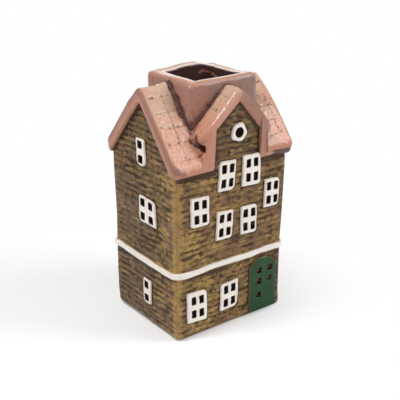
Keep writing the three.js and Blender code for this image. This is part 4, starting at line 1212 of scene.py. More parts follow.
# Windows: how far each top leans and its right side rises, its panes across and up, and the roundings of its
# corners from top left clockwise, as someone outside sees them
WINDOWS = {
    "front_window_upper_1": (-0.6, -0.8, 2, 2, (0.5, 0.6, 3.0, 2.2)),
    "front_window_upper_2": (0.7, -0.9, 2, 2, (0.5, 1.6, 2.8, 0.8)),
    "front_window_upper_3": (-0.6, -0.8, 2, 2, (1.2, 2.2, 2.6, 0.7)),
    "front_window_upper_4": (0.0, -1.0, 2, 2, (0.5, 2.6, 3.0, 0.8)),
    "front_window_attic_1": (0.7, -0.5, 2, 2, (2.0, 0.7, 3.2, 1.6)),
    "front_window_attic_2": (0.1, -0.6, 2, 2, (0.5, 2.4, 2.4, 0.8)),
    "front_window_ground_1": (-0.5, -0.9, 2, 2, (0.4, 2.6, 2.2, 0.6)),
    "front_window_ground_2": (0.3, 0.9, 2, 2, (1.2, 0.8, 4.4, 1.5)),
    "left_window_attic": (-0.4, 0.0, 1, 2, (1.2, 2.4, 4.6, 4.6)),
    "left_window_upper": (0.4, -0.5, 2, 2, (0.7, 3.0, 0.8, 3.4)),
    "left_window_ground": (0.3, 0.0, 1, 2, (1.0, 0.5, 2.0, 3.2)),
    "right_window_attic": (0.4, 0.0, 1, 2, (2.2, 1.2, 4.0, 4.2)),
    "right_window_upper": (-0.4, 0.5, 2, 2, (2.4, 0.8, 2.6, 1.0)),
    "right_window_ground": (-0.3, 0.0, 1, 2, (0.8, 1.2, 2.8, 2.0)),
}
# How far some of them stand to the side and up from their solids, and how much slimmer they are to each side
WINDOW_SHIFTS = {
    "front_window_upper_1": (-0.5, 0.9, 0.0),
    "front_window_upper_2": (-0.2, 1.2, 0.6),
    "front_window_upper_3": (-0.4, 0.2, 0.9),
    "front_window_upper_4": (-2.0, 0.0, 1.0),
    "front_window_attic_1": (-1.4, 0.0, 0.6),
    "front_window_attic_2": (-1.0, -0.6, 0.3),
    "left_window_attic": (0.7, -0.2, 0.8),
    "left_window_upper": (0.2, 0.4, 0.0),
    "left_window_ground": (0.0, 0.0, 1.3),
}
PANE_HALF = {"front": (1.7, 2.85), "side": (2.4, 2.6)}
PANE_PITCH = {"front": (6.2, 9.8), "side": (9.2, 9.8)}
PANE_SHIFT = {"front": 0.2, "side": -0.4}
PANE_RADIUS = 0.6
PANE_RAGGED = [(0.12, 1.9, 1, 97)]
WINDOW_WAVE, WINDOW_WAVE_SIZE, WINDOW_SEEDS = 0.2, 4.5, 83
ROUND_WINDOW_SHIFT, ROUND_WINDOW_HOLE, ROUND_HOLE_SLIM = -1.7, 3.3, 1.05
# The round window is pressed out of round: how far, how many times round, and where that starts
ROUND_WINDOW_SWELL = [(0.25, 5, 0.6), (0.25, 3, 2)]
ROUND_WINDOW_LESS = 0.3

DOOR_SHIFT, DOOR_SLIMMER, DOOR_TALLER, DOOR_SPRING = -0.6, 0.7, 1.6, 35.0
DOOR_HOLE_HALF, DOOR_HOLE_RADIUS = (1.9, 2.0), 0.7
DOOR_HOLES = [(-3.4, 33.6), (5.8, 33.6), (-3.4, 25.4), (5.8, 25.4), (-3.6, 15.0)]
DOOR_HOLE_RAGGED = [(0.3, 1.5, 1, 7), (0.15, 0.8, 1, 8)]

# Plaques: how they swell, how far they reach into the wall, and how their rims and holes are rounded
PLAQUE_WAVE, PLAQUE_WAVE_SIZE, PLAQUE_SEEDS = 0.14, 6, 89
PILLOW, PILLOW_REACH = 0.15, (0, 3)
PLAQUE_BEHIND, PLAQUE_ROUNDING, HOLE_ROUNDING = 0.75, 0.9, 0.4
THIN_EDGE, DARK_REVEAL = (1.1, 0.2), (0.22, 0.05)
PLAQUE_CREASE = 65.0
WINDOW_STEP, ROUND_WINDOW_STEP, DOOR_STEP = 0.66, 0.6, 0.66
WINDOW_SPAN, ROUND_WINDOW_SPAN, DOOR_SPAN = 1.5, 1.2, 1.0

# String course: how it wanders, how far it stands proud and reaches in, and its rounding
BAND_SEEDS, BAND_SWELL_SEED, BAND_SLIMMER = 80, 5, 0.3
BAND_RISE, BAND_RISE_SIZE = 0.55, 15
BAND_SWELL, BAND_SWELL_SIZE, BAND_SWELL_ROW = 0.3, 6, 9
BAND_PROUD, BAND_BEHIND, BAND_ROUNDING = 0.1, 0.7, 1.2
BAND_SPAN, BAND_STEP = (1.2, 1.3), 0.6


def window_place(name):
    """The middle of a window, as s and z, and its half size before it leans."""
    face = name.split("_")[0]
    lean, tilt = WINDOWS[name][:2]
    low, high = node_box(name)
    along = np.array(FACES[face][0])
    middle, half = (low + high) / 2, (high - low) / 2
    aside, up, slimmer = WINDOW_SHIFTS.get(name, (0, 0, 0))
    s, z = middle[:2] @ along + aside, middle[2] + up
    return s, z, (half[:2] @ np.abs(along) - abs(lean) / 2 - slimmer, half[2] - abs(tilt) / 2)


def window_local(name, s, z):
    """Distances across and up from the middle of a leaning window."""
    lean, tilt = WINDOWS[name][:2]
    s0, z0, half = window_place(name)
    up = (z - z0) - (s - s0) * tilt / (2 * half[0])
    return (s - s0) - up * lean / (2 * half[1]), up, half


def panes(name, s, z, wider=0.0):
    """Negative inside the panes of a window."""
    across, up, _ = window_local(name, s, z)
    count_across, count_up = WINDOWS[name][2:4]
    side = "front" if name.startswith("front") else "side"
    pitch, size = PANE_PITCH[side], [half + wider for half in PANE_HALF[side]]
    shift = PANE_SHIFT[side]
    gaps = []
    for i in range(count_across):
        for j in range(count_up):
            x = across - shift - (i - (count_across - 1) / 2) * pitch[0]
            y = up - abs(shift) / 2 - (j - (count_up - 1) / 2) * pitch[1]
            gaps.append(rounded_box(x, y, size, [PANE_RADIUS] * 4))
    return np.minimum.reduce(gaps) + layers(s, z, PANE_RAGGED)


def round_window_place():
    """The middle of the round window, as s and z, and its radius."""
    low, high = node_box("round_window")
    return (low[0] + high[0]) / 2 + ROUND_WINDOW_SHIFT, (low[2] + high[2]) / 2, (high[0] - low[0]) / 2


def door_outline(s, z):
    """Negative inside the door, and the place of its middle."""
    low, high = node_box("front_door")
    middle, half = (low[0] + high[0]) / 2 + DOOR_SHIFT, (high[0] - low[0]) / 2 - DOOR_SLIMMER
    value = arch(s - middle, z, half, DOOR_SPRING, high[2] + DOOR_TALLER - DOOR_SPRING)
    return np.maximum(value, low[2] - z), middle


def grid_over(low_s, high_s, low_z, high_z, span, step):
    """Columns and rows over a plaque and a margin round it."""
    step = step * sizes()["grid"]
    runs = ((low_s, high_s), (low_z, high_z))
    return [np.arange(low - span, high + span + step, step) for low, high in runs]


def make_plaque(name, outline, holes, grid, face, material):
    """A thin slab pressed on a wall where outline(s, z) is negative, and open where holes(s, z) is negative.

    Its outer rim is round and its holes are crisp; the reveals of the holes are as dark as the inside.
    """
    seed = sum(map(ord, name)) % PLAQUE_SEEDS

    def region(s, z):
        return np.maximum(outline(s, z), -holes(s, z))

    def skins(s, z):
        edge, hole = np.maximum(-outline(s, z), 0), np.maximum(holes(s, z), 0)
        wave = PLAQUE_WAVE * ripple(s, z, PLAQUE_WAVE_SIZE, seed)
        pillow = sizes()["plaque"] + wave + PILLOW * smooth(*PILLOW_REACH, edge)
        level = drift(face, s, z)
        outer, inner = wall_point(face, s, z, pillow + level), wall_point(face, s, z, level - PLAQUE_BEHIND)
        outer, inner = soften(outer, inner, edge, PLAQUE_ROUNDING)
        return soften(outer, inner, hole, HOLE_ROUNDING)

    points, faces, (s, z) = shell(*grid, region, skins)
    paint = {
        "edge": both(smooth(*THIN_EDGE, -outline(s, z)), 1.0),
        "inside": both(smooth(*DARK_REVEAL, holes(s, z)), 1.0),
    }
    piece(f"{name}_clay", points, faces, [name], material, paint, PLAQUE_CREASE)


def make_window(name):
    """A leaning plaque with its panes cut out."""
    s0, z0, half = window_place(name)
    corners = WINDOWS[name][4]
    seed = sum(map(ord, name)) % WINDOW_SEEDS

    def outline(s, z):
        across, up, _ = window_local(name, s, z)
        return rounded_box(across, up, half, corners) + WINDOW_WAVE * ripple(s, z, WINDOW_WAVE_SIZE, seed)

    def holes(s, z):
        return panes(name, s, z)

    box = (s0 - half[0], s0 + half[0], z0 - half[1], z0 + half[1])
    grid = grid_over(*box, WINDOW_SPAN, WINDOW_STEP)
    make_plaque(name, outline, holes, grid, name.split("_")[0], ivory_glaze())


def make_round_window():
    """A ring pressed on the gable, a little out of round."""
    x0, z0, radius = round_window_place()

    def outline(s, z):
        turn = np.arctan2(z - z0, s - x0)
        swell = sum(far * np.cos(times * turn + start) for far, times, start in ROUND_WINDOW_SWELL)
        return np.hypot(s - x0, z - z0) - radius - swell + ROUND_WINDOW_LESS

    def hole(s, z):
        return np.hypot((s - x0) * ROUND_HOLE_SLIM, z - z0) - ROUND_WINDOW_HOLE

    box = (x0 - radius, x0 + radius, z0 - radius, z0 + radius)
    grid = grid_over(*box, ROUND_WINDOW_SPAN, ROUND_WINDOW_STEP)
    make_plaque("round_window", outline, hole, grid, "front", ivory_glaze())


def make_door():
    """A plaque with a round head and small openings of uneven shape."""
    low, high = node_box("front_door")

    def outline(s, z):
        return door_outline(s, z)[0]

    def holes(s, z):
        middle = door_outline(s, z)[1]
        corners = [DOOR_HOLE_RADIUS] * 4
        gaps = [rounded_box(s - middle - x, z - up, DOOR_HOLE_HALF, corners) for x, up in DOOR_HOLES]
        return np.minimum.reduce(gaps) + layers(s, z, DOOR_HOLE_RAGGED)

    grid = grid_over(low[0], high[0], low[2], high[2] + DOOR_TALLER, DOOR_SPAN, DOOR_STEP)
    make_plaque("front_door", outline, holes, grid, "front", door_glaze())


def make_band(face):
    """A strip of the string course, which meets its neighbours at the middle of the rounded corners."""
    size = sizes()
    end = wall_ends(face)
    seed = BAND_SEEDS + list(FACES).index(face)
    middle, half = (BAND_TOP + BAND_BOTTOM) / 2, (BAND_TOP - BAND_BOTTOM) / 2 - BAND_SLIMMER

    def inside(s, z):
        """Distance into the strip from its upper or lower edge."""
        fade = smooth(end, end - CORNER_FADE, np.abs(s))
        rise = BAND_RISE * ripple(s, s * 0, BAND_RISE_SIZE, seed) * fade
        swell = ripple(s, s * 0 + BAND_SWELL_ROW, BAND_SWELL_SIZE, seed + BAND_SWELL_SEED)
        swell = BAND_SWELL * swell * fade
        return half + swell - np.abs(z - middle - rise)

    def skins(s, z):
        level = drift(face, s, z)
        outer = wall_point(face, s, z, size["plaque"] + BAND_PROUD + level)
        inner = wall_point(face, s, z, level - BAND_BEHIND)
        return soften(outer, inner, np.maximum(inside(s, z), 0), BAND_ROUNDING)

    columns = stops([-end, end], size["grid"])
    rows = np.arange(BAND_BOTTOM - BAND_SPAN[0], BAND_TOP + BAND_SPAN[1], BAND_STEP * size["grid"])
    points, faces, (s, z) = shell(columns, rows, lambda s, z: -inside(s, z), skins)
    paint = {"edge": both(smooth(*THIN_EDGE, inside(s, z)), 1.0), "inside": both(np.zeros(len(s)))}
    name = f"string_course_{face}"
    piece(f"{name}_clay", points, faces, [name], ivory_glaze(), paint, PLAQUE_CREASE)


# Shader maths
class Socket:
    """An output socket that takes part in sums, which add their own Math nodes."""

    def __init__(self, shader, socket):
        self.shader, self.socket = shader, socket

    def math(self, operation, *others, first=True):
        """A Math node between this socket and others; first is False where this one comes last."""
        terms = (self, *others) if first else (*others, self)
        made = self.shader.node("ShaderNodeMath", {"operation": operation}, *terms)
        return Socket(self.shader, made.outputs[0])

    def at_most(self, limit):
        """This value or the limit, whichever is less."""
        return self.math("MINIMUM", limit)

    def __add__(self, other):
        return self.math("ADD", other)

    def __sub__(self, other):
        return self.math("SUBTRACT", other)

    def __rsub__(self, other):
        return self.math("SUBTRACT", other, first=False)

    def __mul__(self, other):
        return self.math("MULTIPLY", other)

    __radd__ = __add__
    __rmul__ = __mul__


class Shader:
    """A new material and the nodes that are added to it."""

    def __init__(self, name):
        self.material = bpy.data.materials.new(name)
        self.material.use_nodes = True
        self.tree = self.material.node_tree
        self.surface = self.tree.nodes["Principled BSDF"]

    def node(self, kind, settings=None, *places, **inputs):
        """A node of a type, with its settings made first and then its sockets given values or links."""
        made = self.tree.nodes.new(kind)
        for key, value in (settings or {}).items():
            setattr(made, key, value)
        for key, value in [*enumerate(places), *inputs.items()]:
            target = made.inputs[key if isinstance(key, int) else key.replace("_", " ")]
            if isinstance(value, Socket):
                self.tree.links.new(value.socket, target)
            else:
                target.default_value = value
        return made

    def noise(self, across, up=None, detail=2.0, rough=0.5, shift=0.0):
        """Cloudy noise from 0 to 1, with clouds of about the given sizes in millimetres along and up."""
        place = Socket(self, self.node("ShaderNodeTexCoord").outputs["Object"])
        scale = (1 / (MM * across), 1 / (MM * across), 1 / (MM * (up or across)))
        place = Socket(self, self.node("ShaderNodeMapping", None, place, Scale=scale).outputs[0])
        if shift:
            moved = self.node("ShaderNodeVectorMath", {"operation": "ADD"}, place, (shift,) * 3)
            place = Socket(self, moved.outputs[0])
        values = {"Vector": place, "Scale": 1.0, "Detail": detail, "Roughness": rough}
        return Socket(self, self.node("ShaderNodeTexNoise", None, **values).outputs["Fac"])

    def attribute(self, name):
        """What is painted on the points of a piece under a name."""
        return Socket(self, self.node("ShaderNodeAttribute", {"attribute_name": name}).outputs["Fac"])

    def step(self, value, low, high):
        """0 below low and 1 above high, smooth between."""
        settings = {"interpolation_type": "SMOOTHSTEP"}
        return Socket(self, self.node("ShaderNodeMapRange", settings, value, low, high, 0.0, 1.0).outputs[0])

    def mix(self, factor, first, second):
        """A colour between two colours."""
        made = self.node("ShaderNodeMix", {"data_type": "RGBA"})
        for key, value in ((0, factor), (6, first), (7, second)):
            if isinstance(value, Socket):
                self.tree.links.new(value.socket, made.inputs[key])
            else:
                made.inputs[key].default_value = value if key == 0 else (*value, 1.0)
        return Socket(self, made.outputs[2])

    def bump(self, height, distance):
        """A relief in millimetres."""
        made = self.node("ShaderNodeBump", None, Height=height, Distance=distance * MM, Strength=1.0)
        return Socket(self, made.outputs[0])

    def finish(self, constants, **links):
        """The material, with constants on the shader's own sockets and links to the others."""
        for key, value in constants.items():
            self.surface.inputs[key].default_value = value
        for key, value in links.items():
            self.tree.links.new(value.socket, self.surface.inputs[key.replace("_", " ")])
        return self.material


# Glazes. A noise is given by its clouds' size in millimetres, along and up where these differ. Levels are
# those between which a layer of colour sets in, weights add up what it follows, and the strength is how much
# it covers of what lies under it. A range is the least value and what is added at most
GLOSS = {"Specular IOR Level": 0.32}
# The insides give off a faint painted glow, though no lamp is there
GLOSS_WITH_PAINTED_GLOW = {"Specular IOR Level": 0.16, "Emission Strength": 1.0}
INSIDE_PAINTED_GLOW = (0.016, 0.008, 0.007)
BLACK = (0.0, 0.0, 0.0)
SEAM_RANGE, SEAM_DARKEST = (0.5, 0.9), 0.95

BRICK_STREAK = {"across": 6, "up": 1.6, "detail": 3.0, "rough": 0.6}
BRICK_FLECK = {"across": 2.0, "up": 1.2, "rough": 0.6, "shift": 7.7}
BRICK_GRAIN = {"across": 1.2, "up": 0.7, "detail": 3.0, "rough": 0.6, "shift": 5.0}
BRICK_LIGHT_WEIGHTS, BRICK_LIGHT_LEVELS = (0.6, 0.5, 0.45), (0.45, 1.15)
BRICK_HUE_LEVELS, BRICK_UMBER = (0.5, 1.1), 0.85
BRICK_MAUVE_LEVELS, BRICK_MAUVE = (0.5, 0.75), 0.16
CORNER_STRIPE = {"across": 1.6, "up": 40, "shift": 2.0}
CORNER_STRIPE_LEVELS, CORNER_MAUVE, CORNER_OCHRE = (0.5, 0.62), 0.6, 0.8
PATCH_WEIGHTS, PATCH_LEVELS, PATCH_PLUM = (0.7, 0.4, 0.2), (0.6, 1.0), 0.5
JOINT_RANGE, SHADE_RANGE, JOINT_DARKEST = (0.6, 0.8), (0.55, 0.6), 0.92
BRICK_ROUGHNESS, BRICK_BUMP = (0.16, 0.16), 0.3

ROOF_CLOUD = {"across": 9, "rough": 0.55, "shift": 2.2}
ROOF_FINE = {"across": 2.0, "detail": 3.0, "rough": 0.6, "shift": 4.4}
ROOF_PINS = {"across": 1.7, "detail": 1.0, "shift": 9.1}
ROOF_GRAIN = {"across": 2.4, "shift": 6.6}
ROOF_HIGH_WEIGHTS, ROOF_HIGH_LEVELS = (0.8, 0.7), (0.6, 1.2)
BLUSH_RANGE, BLUSH_MOST = (0.3, 0.6), 0.75
ROOF_SPOT_LEVELS, ROOF_SLATE = (0.56, 0.72), 0.35
ROOF_EDGE_LEVELS, ROOF_CORAL, ROOF_BROWN_SHADE, ROOF_UNDER_SHADE = (0.1, 0.7), 0.25, 0.75, 0.85
PIN_LEVELS, PIN_STRENGTH, SCORE_LEVELS, SCORE_DARKEST = (0.7, 0.76), 0.55, (0.3, 0.6), 0.8
ROOF_ROUGHNESS, ROOF_BUMP = (0.08, 0.12), 0.35

COLLAR_CLOUD = {"across": 9, "up": 16, "rough": 0.55, "shift": 1.7}
COLLAR_FINE = {"across": 2.2, "up": 2.6, "detail": 3.0, "rough": 0.6, "shift": 8.8}
COLLAR_SPOTS = {"across": 4, "up": 8, "shift": 6.1}
COLLAR_GRAIN = {"across": 3.0, "shift": 3.3}
COLLAR_GREY_WEIGHTS, COLLAR_GREY_LEVELS = (0.7, 0.3, 0.2), (0.55, 0.85)
COLLAR_SPOT_LEVELS, COLLAR_UMBER = (0.54, 0.7), 0.5
# The cream along the inner edge of the rim is a painted highlight
RIM_LEVELS, RIM_SALMON, LIP_HIGHLIGHT_LEVELS, LIP_PAINTED_HIGHLIGHT = (0.25, 0.8), 0.5, (0.0, 0.09), 0.55
BORE_DARK_LEVELS, BORE_PAINTED_GLOW_LEVELS = (0.2, 0.45), (0.1, 0.6)
COLLAR_ROUGHNESS, COLLAR_BUMP = (0.06, 0.1), 0.35

IVORY_FINE, IVORY_GRAIN = {"across": 3.0, "shift": 5.5}, {"across": 2.0, "shift": 2.1}
IVORY_SPOT_LEVELS, IVORY_SAND, IVORY_EDGE = (0.5, 0.8), 0.25, 0.3
IVORY_ROUGHNESS, IVORY_BUMP = (0.12, 0.15), 0.12

DOOR_CLOUD, DOOR_GRAIN = {"across": 6, "up": 8, "shift": 4.7}, {"across": 2.4, "shift": 2.9}
DOOR_CLOUD_LEVELS, DOOR_SHADOW, DOOR_DARKER_GREEN = (0.45, 0.7), 0.5, 0.6
DOOR_EDGE_LEVELS, DOOR_OLIVE = (0.3, 1.0), 0.7
DOOR_ROUGHNESS, DOOR_BUMP = (0.1, 0.12), 0.15
MADE = {}


def once(build):
    """Each glaze is mixed once and then used by every piece that wears it.

    Its maker gets a new shader and the colours of the panel by name.
    """

    def mixed():
        if build.__name__ not in MADE:
            group = bpy.context.scene.house_glazes
            colours = {key: tuple(getattr(group, key)) for key in HouseGlazes.__annotations__}
            MADE[build.__name__] = build(Shader(build.__name__), colours)
        return MADE[build.__name__]

    return mixed


def weighed(weights, *values):
    """The sum of values, each times its weight."""
    terms = [value * weight for weight, value in zip(weights, values)]
    return sum(terms[1:], terms[0])


def ranged(value, least, more):
    """The least where a value is 0, and more where it is 1."""
    return value * more + least


def seam_share(seam, fine):
    """How dark a seam is painted, with glaze gathered there and painted shade, broken up by fine noise."""
    return (seam * ranged(fine, *SEAM_RANGE)).at_most(SEAM_DARKEST)


@once
def brick_glaze(s, glaze):
    """Bricks of olive, ochre and brown glaze, with plum glaze gathered in the joints and round what is
    pressed on the walls, plum painted shade there, under the roof and on the corners, and a faint painted
    glow inside.
    """
    joint, corner, shade = map(s.attribute, ("joint", "corner", "shade"))
    tone, hue, inside = map(s.attribute, ("tone", "hue", "inside"))
    streak, fleck, stripe = s.noise(**BRICK_STREAK), s.noise(**BRICK_FLECK), s.noise(**CORNER_STRIPE)
    light = s.step(weighed(BRICK_LIGHT_WEIGHTS, tone, streak, fleck), *BRICK_LIGHT_LEVELS)
    patch = s.step(weighed(PATCH_WEIGHTS, fleck, 1 - tone, streak), *PATCH_LEVELS)
    # shade is painted shade, and painted shadow round what is pressed on the walls
    dark = joint * ranged(fleck, *JOINT_RANGE) + patch * PATCH_PLUM + shade * ranged(fleck, *SHADE_RANGE)
    base = s.mix(light, glaze["olive"], glaze["ochre"])
    base = s.mix(s.step(hue + streak * 0.5, *BRICK_HUE_LEVELS) * BRICK_UMBER, base, glaze["umber"])
    base = s.mix(s.step(fleck, *BRICK_MAUVE_LEVELS) * BRICK_MAUVE, base, glaze["mauve"])
    base = s.mix(corner * CORNER_OCHRE, base, glaze["ochre"])
    base = s.mix(corner * s.step(stripe, *CORNER_STRIPE_LEVELS) * CORNER_MAUVE, base, glaze["mauve"])
    base = s.mix(dark.at_most(JOINT_DARKEST), base, glaze["plum"])
    base = s.mix(inside, base, glaze["soot"])
    rough, relief = ranged(fleck, *BRICK_ROUGHNESS), s.bump(s.noise(**BRICK_GRAIN), BRICK_BUMP)
    # A faint painted glow inside
    glow = s.mix(inside, BLACK, INSIDE_PAINTED_GLOW)
    return s.finish(GLOSS_WITH_PAINTED_GLOW, Base_Color=base, Roughness=rough, Normal=relief, Emission_Color=glow)


@once
def roof_glaze(s, glaze):
    """Salmon glaze, paler near the ridge and pinker along the edges, with brown where it is scored,
    mauve-brown painted shade on some rims, wine in the seams from gathered glaze and painted shade, and plum
    painted shade underneath.
    """
    score, seam, edge, high = map(s.attribute, ("score", "seam", "edge", "high"))
    blush, brown, under = map(s.attribute, ("blush", "brown", "under"))
    cloud, fine, pins = s.noise(**ROOF_CLOUD), s.noise(**ROOF_FINE), s.noise(**ROOF_PINS)
    dark = score * s.step(fine, *SCORE_LEVELS) + s.step(pins, *PIN_LEVELS) * (1 - edge) * PIN_STRENGTH
    sandy = s.step(weighed(ROOF_HIGH_WEIGHTS, high, cloud), *ROOF_HIGH_LEVELS)
    base = s.mix(sandy, glaze["salmon"], glaze["sand"])
    base = s.mix((blush * ranged(cloud, *BLUSH_RANGE)).at_most(BLUSH_MOST), base, glaze["coral"])
    base = s.mix(s.step(fine, *ROOF_SPOT_LEVELS) * ROOF_SLATE, base, glaze["slate"])
    base = s.mix(s.step(edge, *ROOF_EDGE_LEVELS) * ROOF_CORAL, base, glaze["coral"])
    # Mauve-brown painted shade on some rims
    base = s.mix(brown * ROOF_BROWN_SHADE, base, glaze["mauve"])
    base = s.mix(dark.at_most(SCORE_DARKEST), base, glaze["plum"])
    base = s.mix(seam_share(seam, fine), base, glaze["wine"])
    # Plum painted shade on the underside and near some eaves
    base = s.mix(under * ROOF_UNDER_SHADE, base, glaze["plum"])
    rough, relief = ranged(fine, *ROOF_ROUGHNESS), s.bump(s.noise(**ROOF_GRAIN), ROOF_BUMP)
    return s.finish(GLOSS, Base_Color=base, Roughness=rough, Normal=relief)


@once
def collar_glaze(s, glaze):
    """Mauve glaze with grey clouds: a cream painted highlight on the rim, wine where it joins the roof from
    gathered glaze and painted shade, dark in the bore with a faint painted glow.
    """
    rim, inside, seam, drip, side = map(s.attribute, ("rim", "inside", "seam", "drip", "side"))
    cloud, fine, spots = s.noise(**COLLAR_CLOUD), s.noise(**COLLAR_FINE), s.noise(**COLLAR_SPOTS)
    grey = s.step(weighed(COLLAR_GREY_WEIGHTS, cloud, side, fine), *COLLAR_GREY_LEVELS)
    base = s.mix(grey, glaze["mauve"], glaze["slate"])
    base = s.mix(s.step(spots, *COLLAR_SPOT_LEVELS) * COLLAR_UMBER, base, glaze["umber"])
    base = s.mix(s.step(rim, *RIM_LEVELS) * RIM_SALMON, base, glaze["salmon"])
    # Cream painted highlight on the inner edge of the rim
    base = s.mix(s.step(inside, *LIP_HIGHLIGHT_LEVELS) * LIP_PAINTED_HIGHLIGHT, base, glaze["ivory"])
    base = s.mix(seam_share(seam, fine), base, glaze["wine"])
    base = s.mix(s.step(inside, *BORE_DARK_LEVELS), base, glaze["soot"])
    base = s.mix(drip, base, glaze["coral"])
    rough, relief = ranged(fine, *COLLAR_ROUGHNESS), s.bump(s.noise(**COLLAR_GRAIN), COLLAR_BUMP)
    # A faint painted glow in the bore
    glow = s.mix(s.step(inside, *BORE_PAINTED_GLOW_LEVELS), BLACK, INSIDE_PAINTED_GLOW)
    return s.finish(GLOSS_WITH_PAINTED_GLOW, Base_Color=base, Roughness=rough, Normal=relief, Emission_Color=glow)


@once
def ivory_glaze(s, glaze):
    """Off-white glaze that thins to a warmer tone along its edges."""
    edge, inside = map(s.attribute, ("edge", "inside"))
    fine = s.noise(**IVORY_FINE)
    base = s.mix(s.step(fine, *IVORY_SPOT_LEVELS) * IVORY_SAND, glaze["ivory"], glaze["sand"])
    base = s.mix(edge * IVORY_EDGE, base, glaze["sand"])
    base = s.mix(inside, base, glaze["soot"])
    rough, relief = ranged(fine, *IVORY_ROUGHNESS), s.bump(s.noise(**IVORY_GRAIN), IVORY_BUMP)
    return s.finish(GLOSS, Base_Color=base, Roughness=rough, Normal=relief)


@once
def door_glaze(s, glaze):
    """Deep green glaze with darker clouds and thin olive edges."""
    edge, inside = map(s.attribute, ("edge", "inside"))
    cloud = s.noise(**DOOR_CLOUD)
    darker = tuple(k * DOOR_DARKER_GREEN for k in glaze["green"])
    base = s.mix(s.step(cloud, *DOOR_CLOUD_LEVELS) * DOOR_SHADOW, glaze["green"], darker)
    base = s.mix(s.step(edge, *DOOR_EDGE_LEVELS) * DOOR_OLIVE, base, glaze["olive"])
    base = s.mix(inside, base, glaze["soot"])
    rough, relief = ranged(cloud, *DOOR_ROUGHNESS), s.bump(s.noise(**DOOR_GRAIN), DOOR_BUMP)
    return s.finish(GLOSS, Base_Color=base, Roughness=rough, Normal=relief)


# The stage. Places, the lens and its sensor are in millimetres, reaches and the widths of lamps in metres
CAMERA_PLACE = (-324.7, -431.3, 292.8)
CAMERA_TARGET = (0.86, 0.0, 80.2)
CAMERA_LENS, CAMERA_SENSOR, CAMERA_REACH = 75.27, 36, 10
# Each lamp: its place, its width in metres, its power, and whether it lights as well as glints
LAMPS = {
    "key": ((640, -560, 640), 0.5, 5.8, True),
    "fill": ((-900, -420, 420), 0.9, 0.3, True),
    "top": ((-420, 60, 830), 0.22, 4.8, True),
    "spark": ((-330, -260, 820), 0.045, 0.6, True),
    "back": ((560, 640, 130), 0.5, 0.8, False),
    "glint": ((300, 560, 800), 0.09, 0.5, False),
}
LAMP_TARGET = (0, 0, 80)
WORLD_COLOUR, WORLD_STRENGTH = (0.96, 0.97, 1.0, 1.0), 0.32
WHITE = (1.0, 1.0, 1.0, 1.0)
FLOOR_REACH = 6.0
FLOOR_COLOUR = (0.95, 0.95, 0.95, 1.0)
# The floor's own white: its share round this place, and how far from it that grows to the whole
GLOW_CENTRE, GLOW_NEAR, GLOW_GROWS = (-0.12, 0.02, 0.0), 0.2, (0.1, 0.27)


def look(thing, place, target):
    """Stands a camera or a lamp at a place and turns it to a target."""
    thing.location = Vector(place) * MM
    thing.rotation_euler = (Vector(target) * MM - thing.location).to_track_quat("-Z", "Y").to_euler()
    bpy.context.scene.collection.objects.link(thing)


def make_camera():
    data = bpy.data.cameras.new("photo_camera")
    data.lens = CAMERA_LENS
    data.sensor_width = CAMERA_SENSOR
    data.clip_end = CAMERA_REACH
    camera = bpy.data.objects.new("photo_camera", data)
    look(camera, CAMERA_PLACE, CAMERA_TARGET)
    bpy.context.scene.camera = camera


def make_lamps():
    """Soft lamps in front, one above, and behind the house two that show only as glints in the glaze."""
    for name, (place, width, power, lights_up) in LAMPS.items():
        data = bpy.data.lights.new(f"{name}_lamp", "AREA")
        data.shape = "SQUARE"
        data.size = width
        data.energy = power
        lamp = bpy.data.objects.new(f"{name}_lamp", data)
        lamp.visible_diffuse = lights_up
        look(lamp, place, LAMP_TARGET)


def seen_directly(tree):
    """1 for rays that the camera sends straight at a surface."""
    return tree.nodes.new("ShaderNodeLightPath").outputs["Is Camera Ray"]


def make_world():
    """A soft grey sky that the camera sees as white."""
    world = bpy.data.worlds.new("studio")
    world.use_nodes = True
    tree = world.node_tree
    soft, white = tree.nodes["Background"], tree.nodes.new("ShaderNodeBackground")
    for sky, tone, strength in ((soft, WORLD_COLOUR, WORLD_STRENGTH), (white, WHITE, 1.0)):
        sky.inputs["Color"].default_value = tone
        sky.inputs["Strength"].default_value = strength
    choose = tree.nodes.new("ShaderNodeMixShader")
    for number, source in enumerate((seen_directly(tree), soft.outputs[0], white.outputs[0])):
        tree.links.new(source, choose.inputs[number])
    tree.links.new(choose.outputs[0], tree.nodes["World Output"].inputs["Surface"])
    bpy.context.scene.world = world


def make_ground():
    """A pale floor that turns to plain white away from the house, so that the shadow stays by the house."""
    mesh = bpy.data.meshes.new("floor")
    corners = [(x * FLOOR_REACH, y * FLOOR_REACH, 0) for x, y in ((-1, -1), (1, -1), (1, 1), (-1, 1))]
    mesh.from_pydata(corners, [], [(0, 1, 2, 3)])
    floor = bpy.data.objects.new("floor", mesh)
    bpy.context.scene.collection.objects.link(floor)
    s = Shader("pale_floor")
    place = Socket(s, s.node("ShaderNodeTexCoord").outputs["Object"])
    away = s.node("ShaderNodeVectorMath", {"operation": "DISTANCE"}, place, GLOW_CENTRE)
    grows = s.step(Socket(s, away.outputs["Value"]), *GLOW_GROWS)
    share = Socket(s, seen_directly(s.tree)) * (grows * (1 - GLOW_NEAR) + GLOW_NEAR)
    matt = s.node("ShaderNodeBsdfDiffuse", None, FLOOR_COLOUR)
    glow = s.node("ShaderNodeEmission", None, WHITE, 1.0)
    surfaces = [Socket(s, made.outputs[0]) for made in (matt, glow)]
    blend = s.node("ShaderNodeMixShader", None, share, *surfaces)
    s.tree.links.new(blend.outputs[0], s.tree.nodes["Material Output"].inputs["Surface"])
    s.tree.nodes.remove(s.surface)
    mesh.materials.append(s.material)


# Operators
class HOUSE_OT_stage(Operator):
    """Set up the camera, the lamps, the world and the floor"""

    bl_idname = "house.stage"
    bl_label = "Stage"

    def execute(self, context):
        context.scene.view_settings.view_transform = "Standard"
        make_camera()
        make_lamps()
        make_world()
        make_ground()
        return {"FINISHED"}


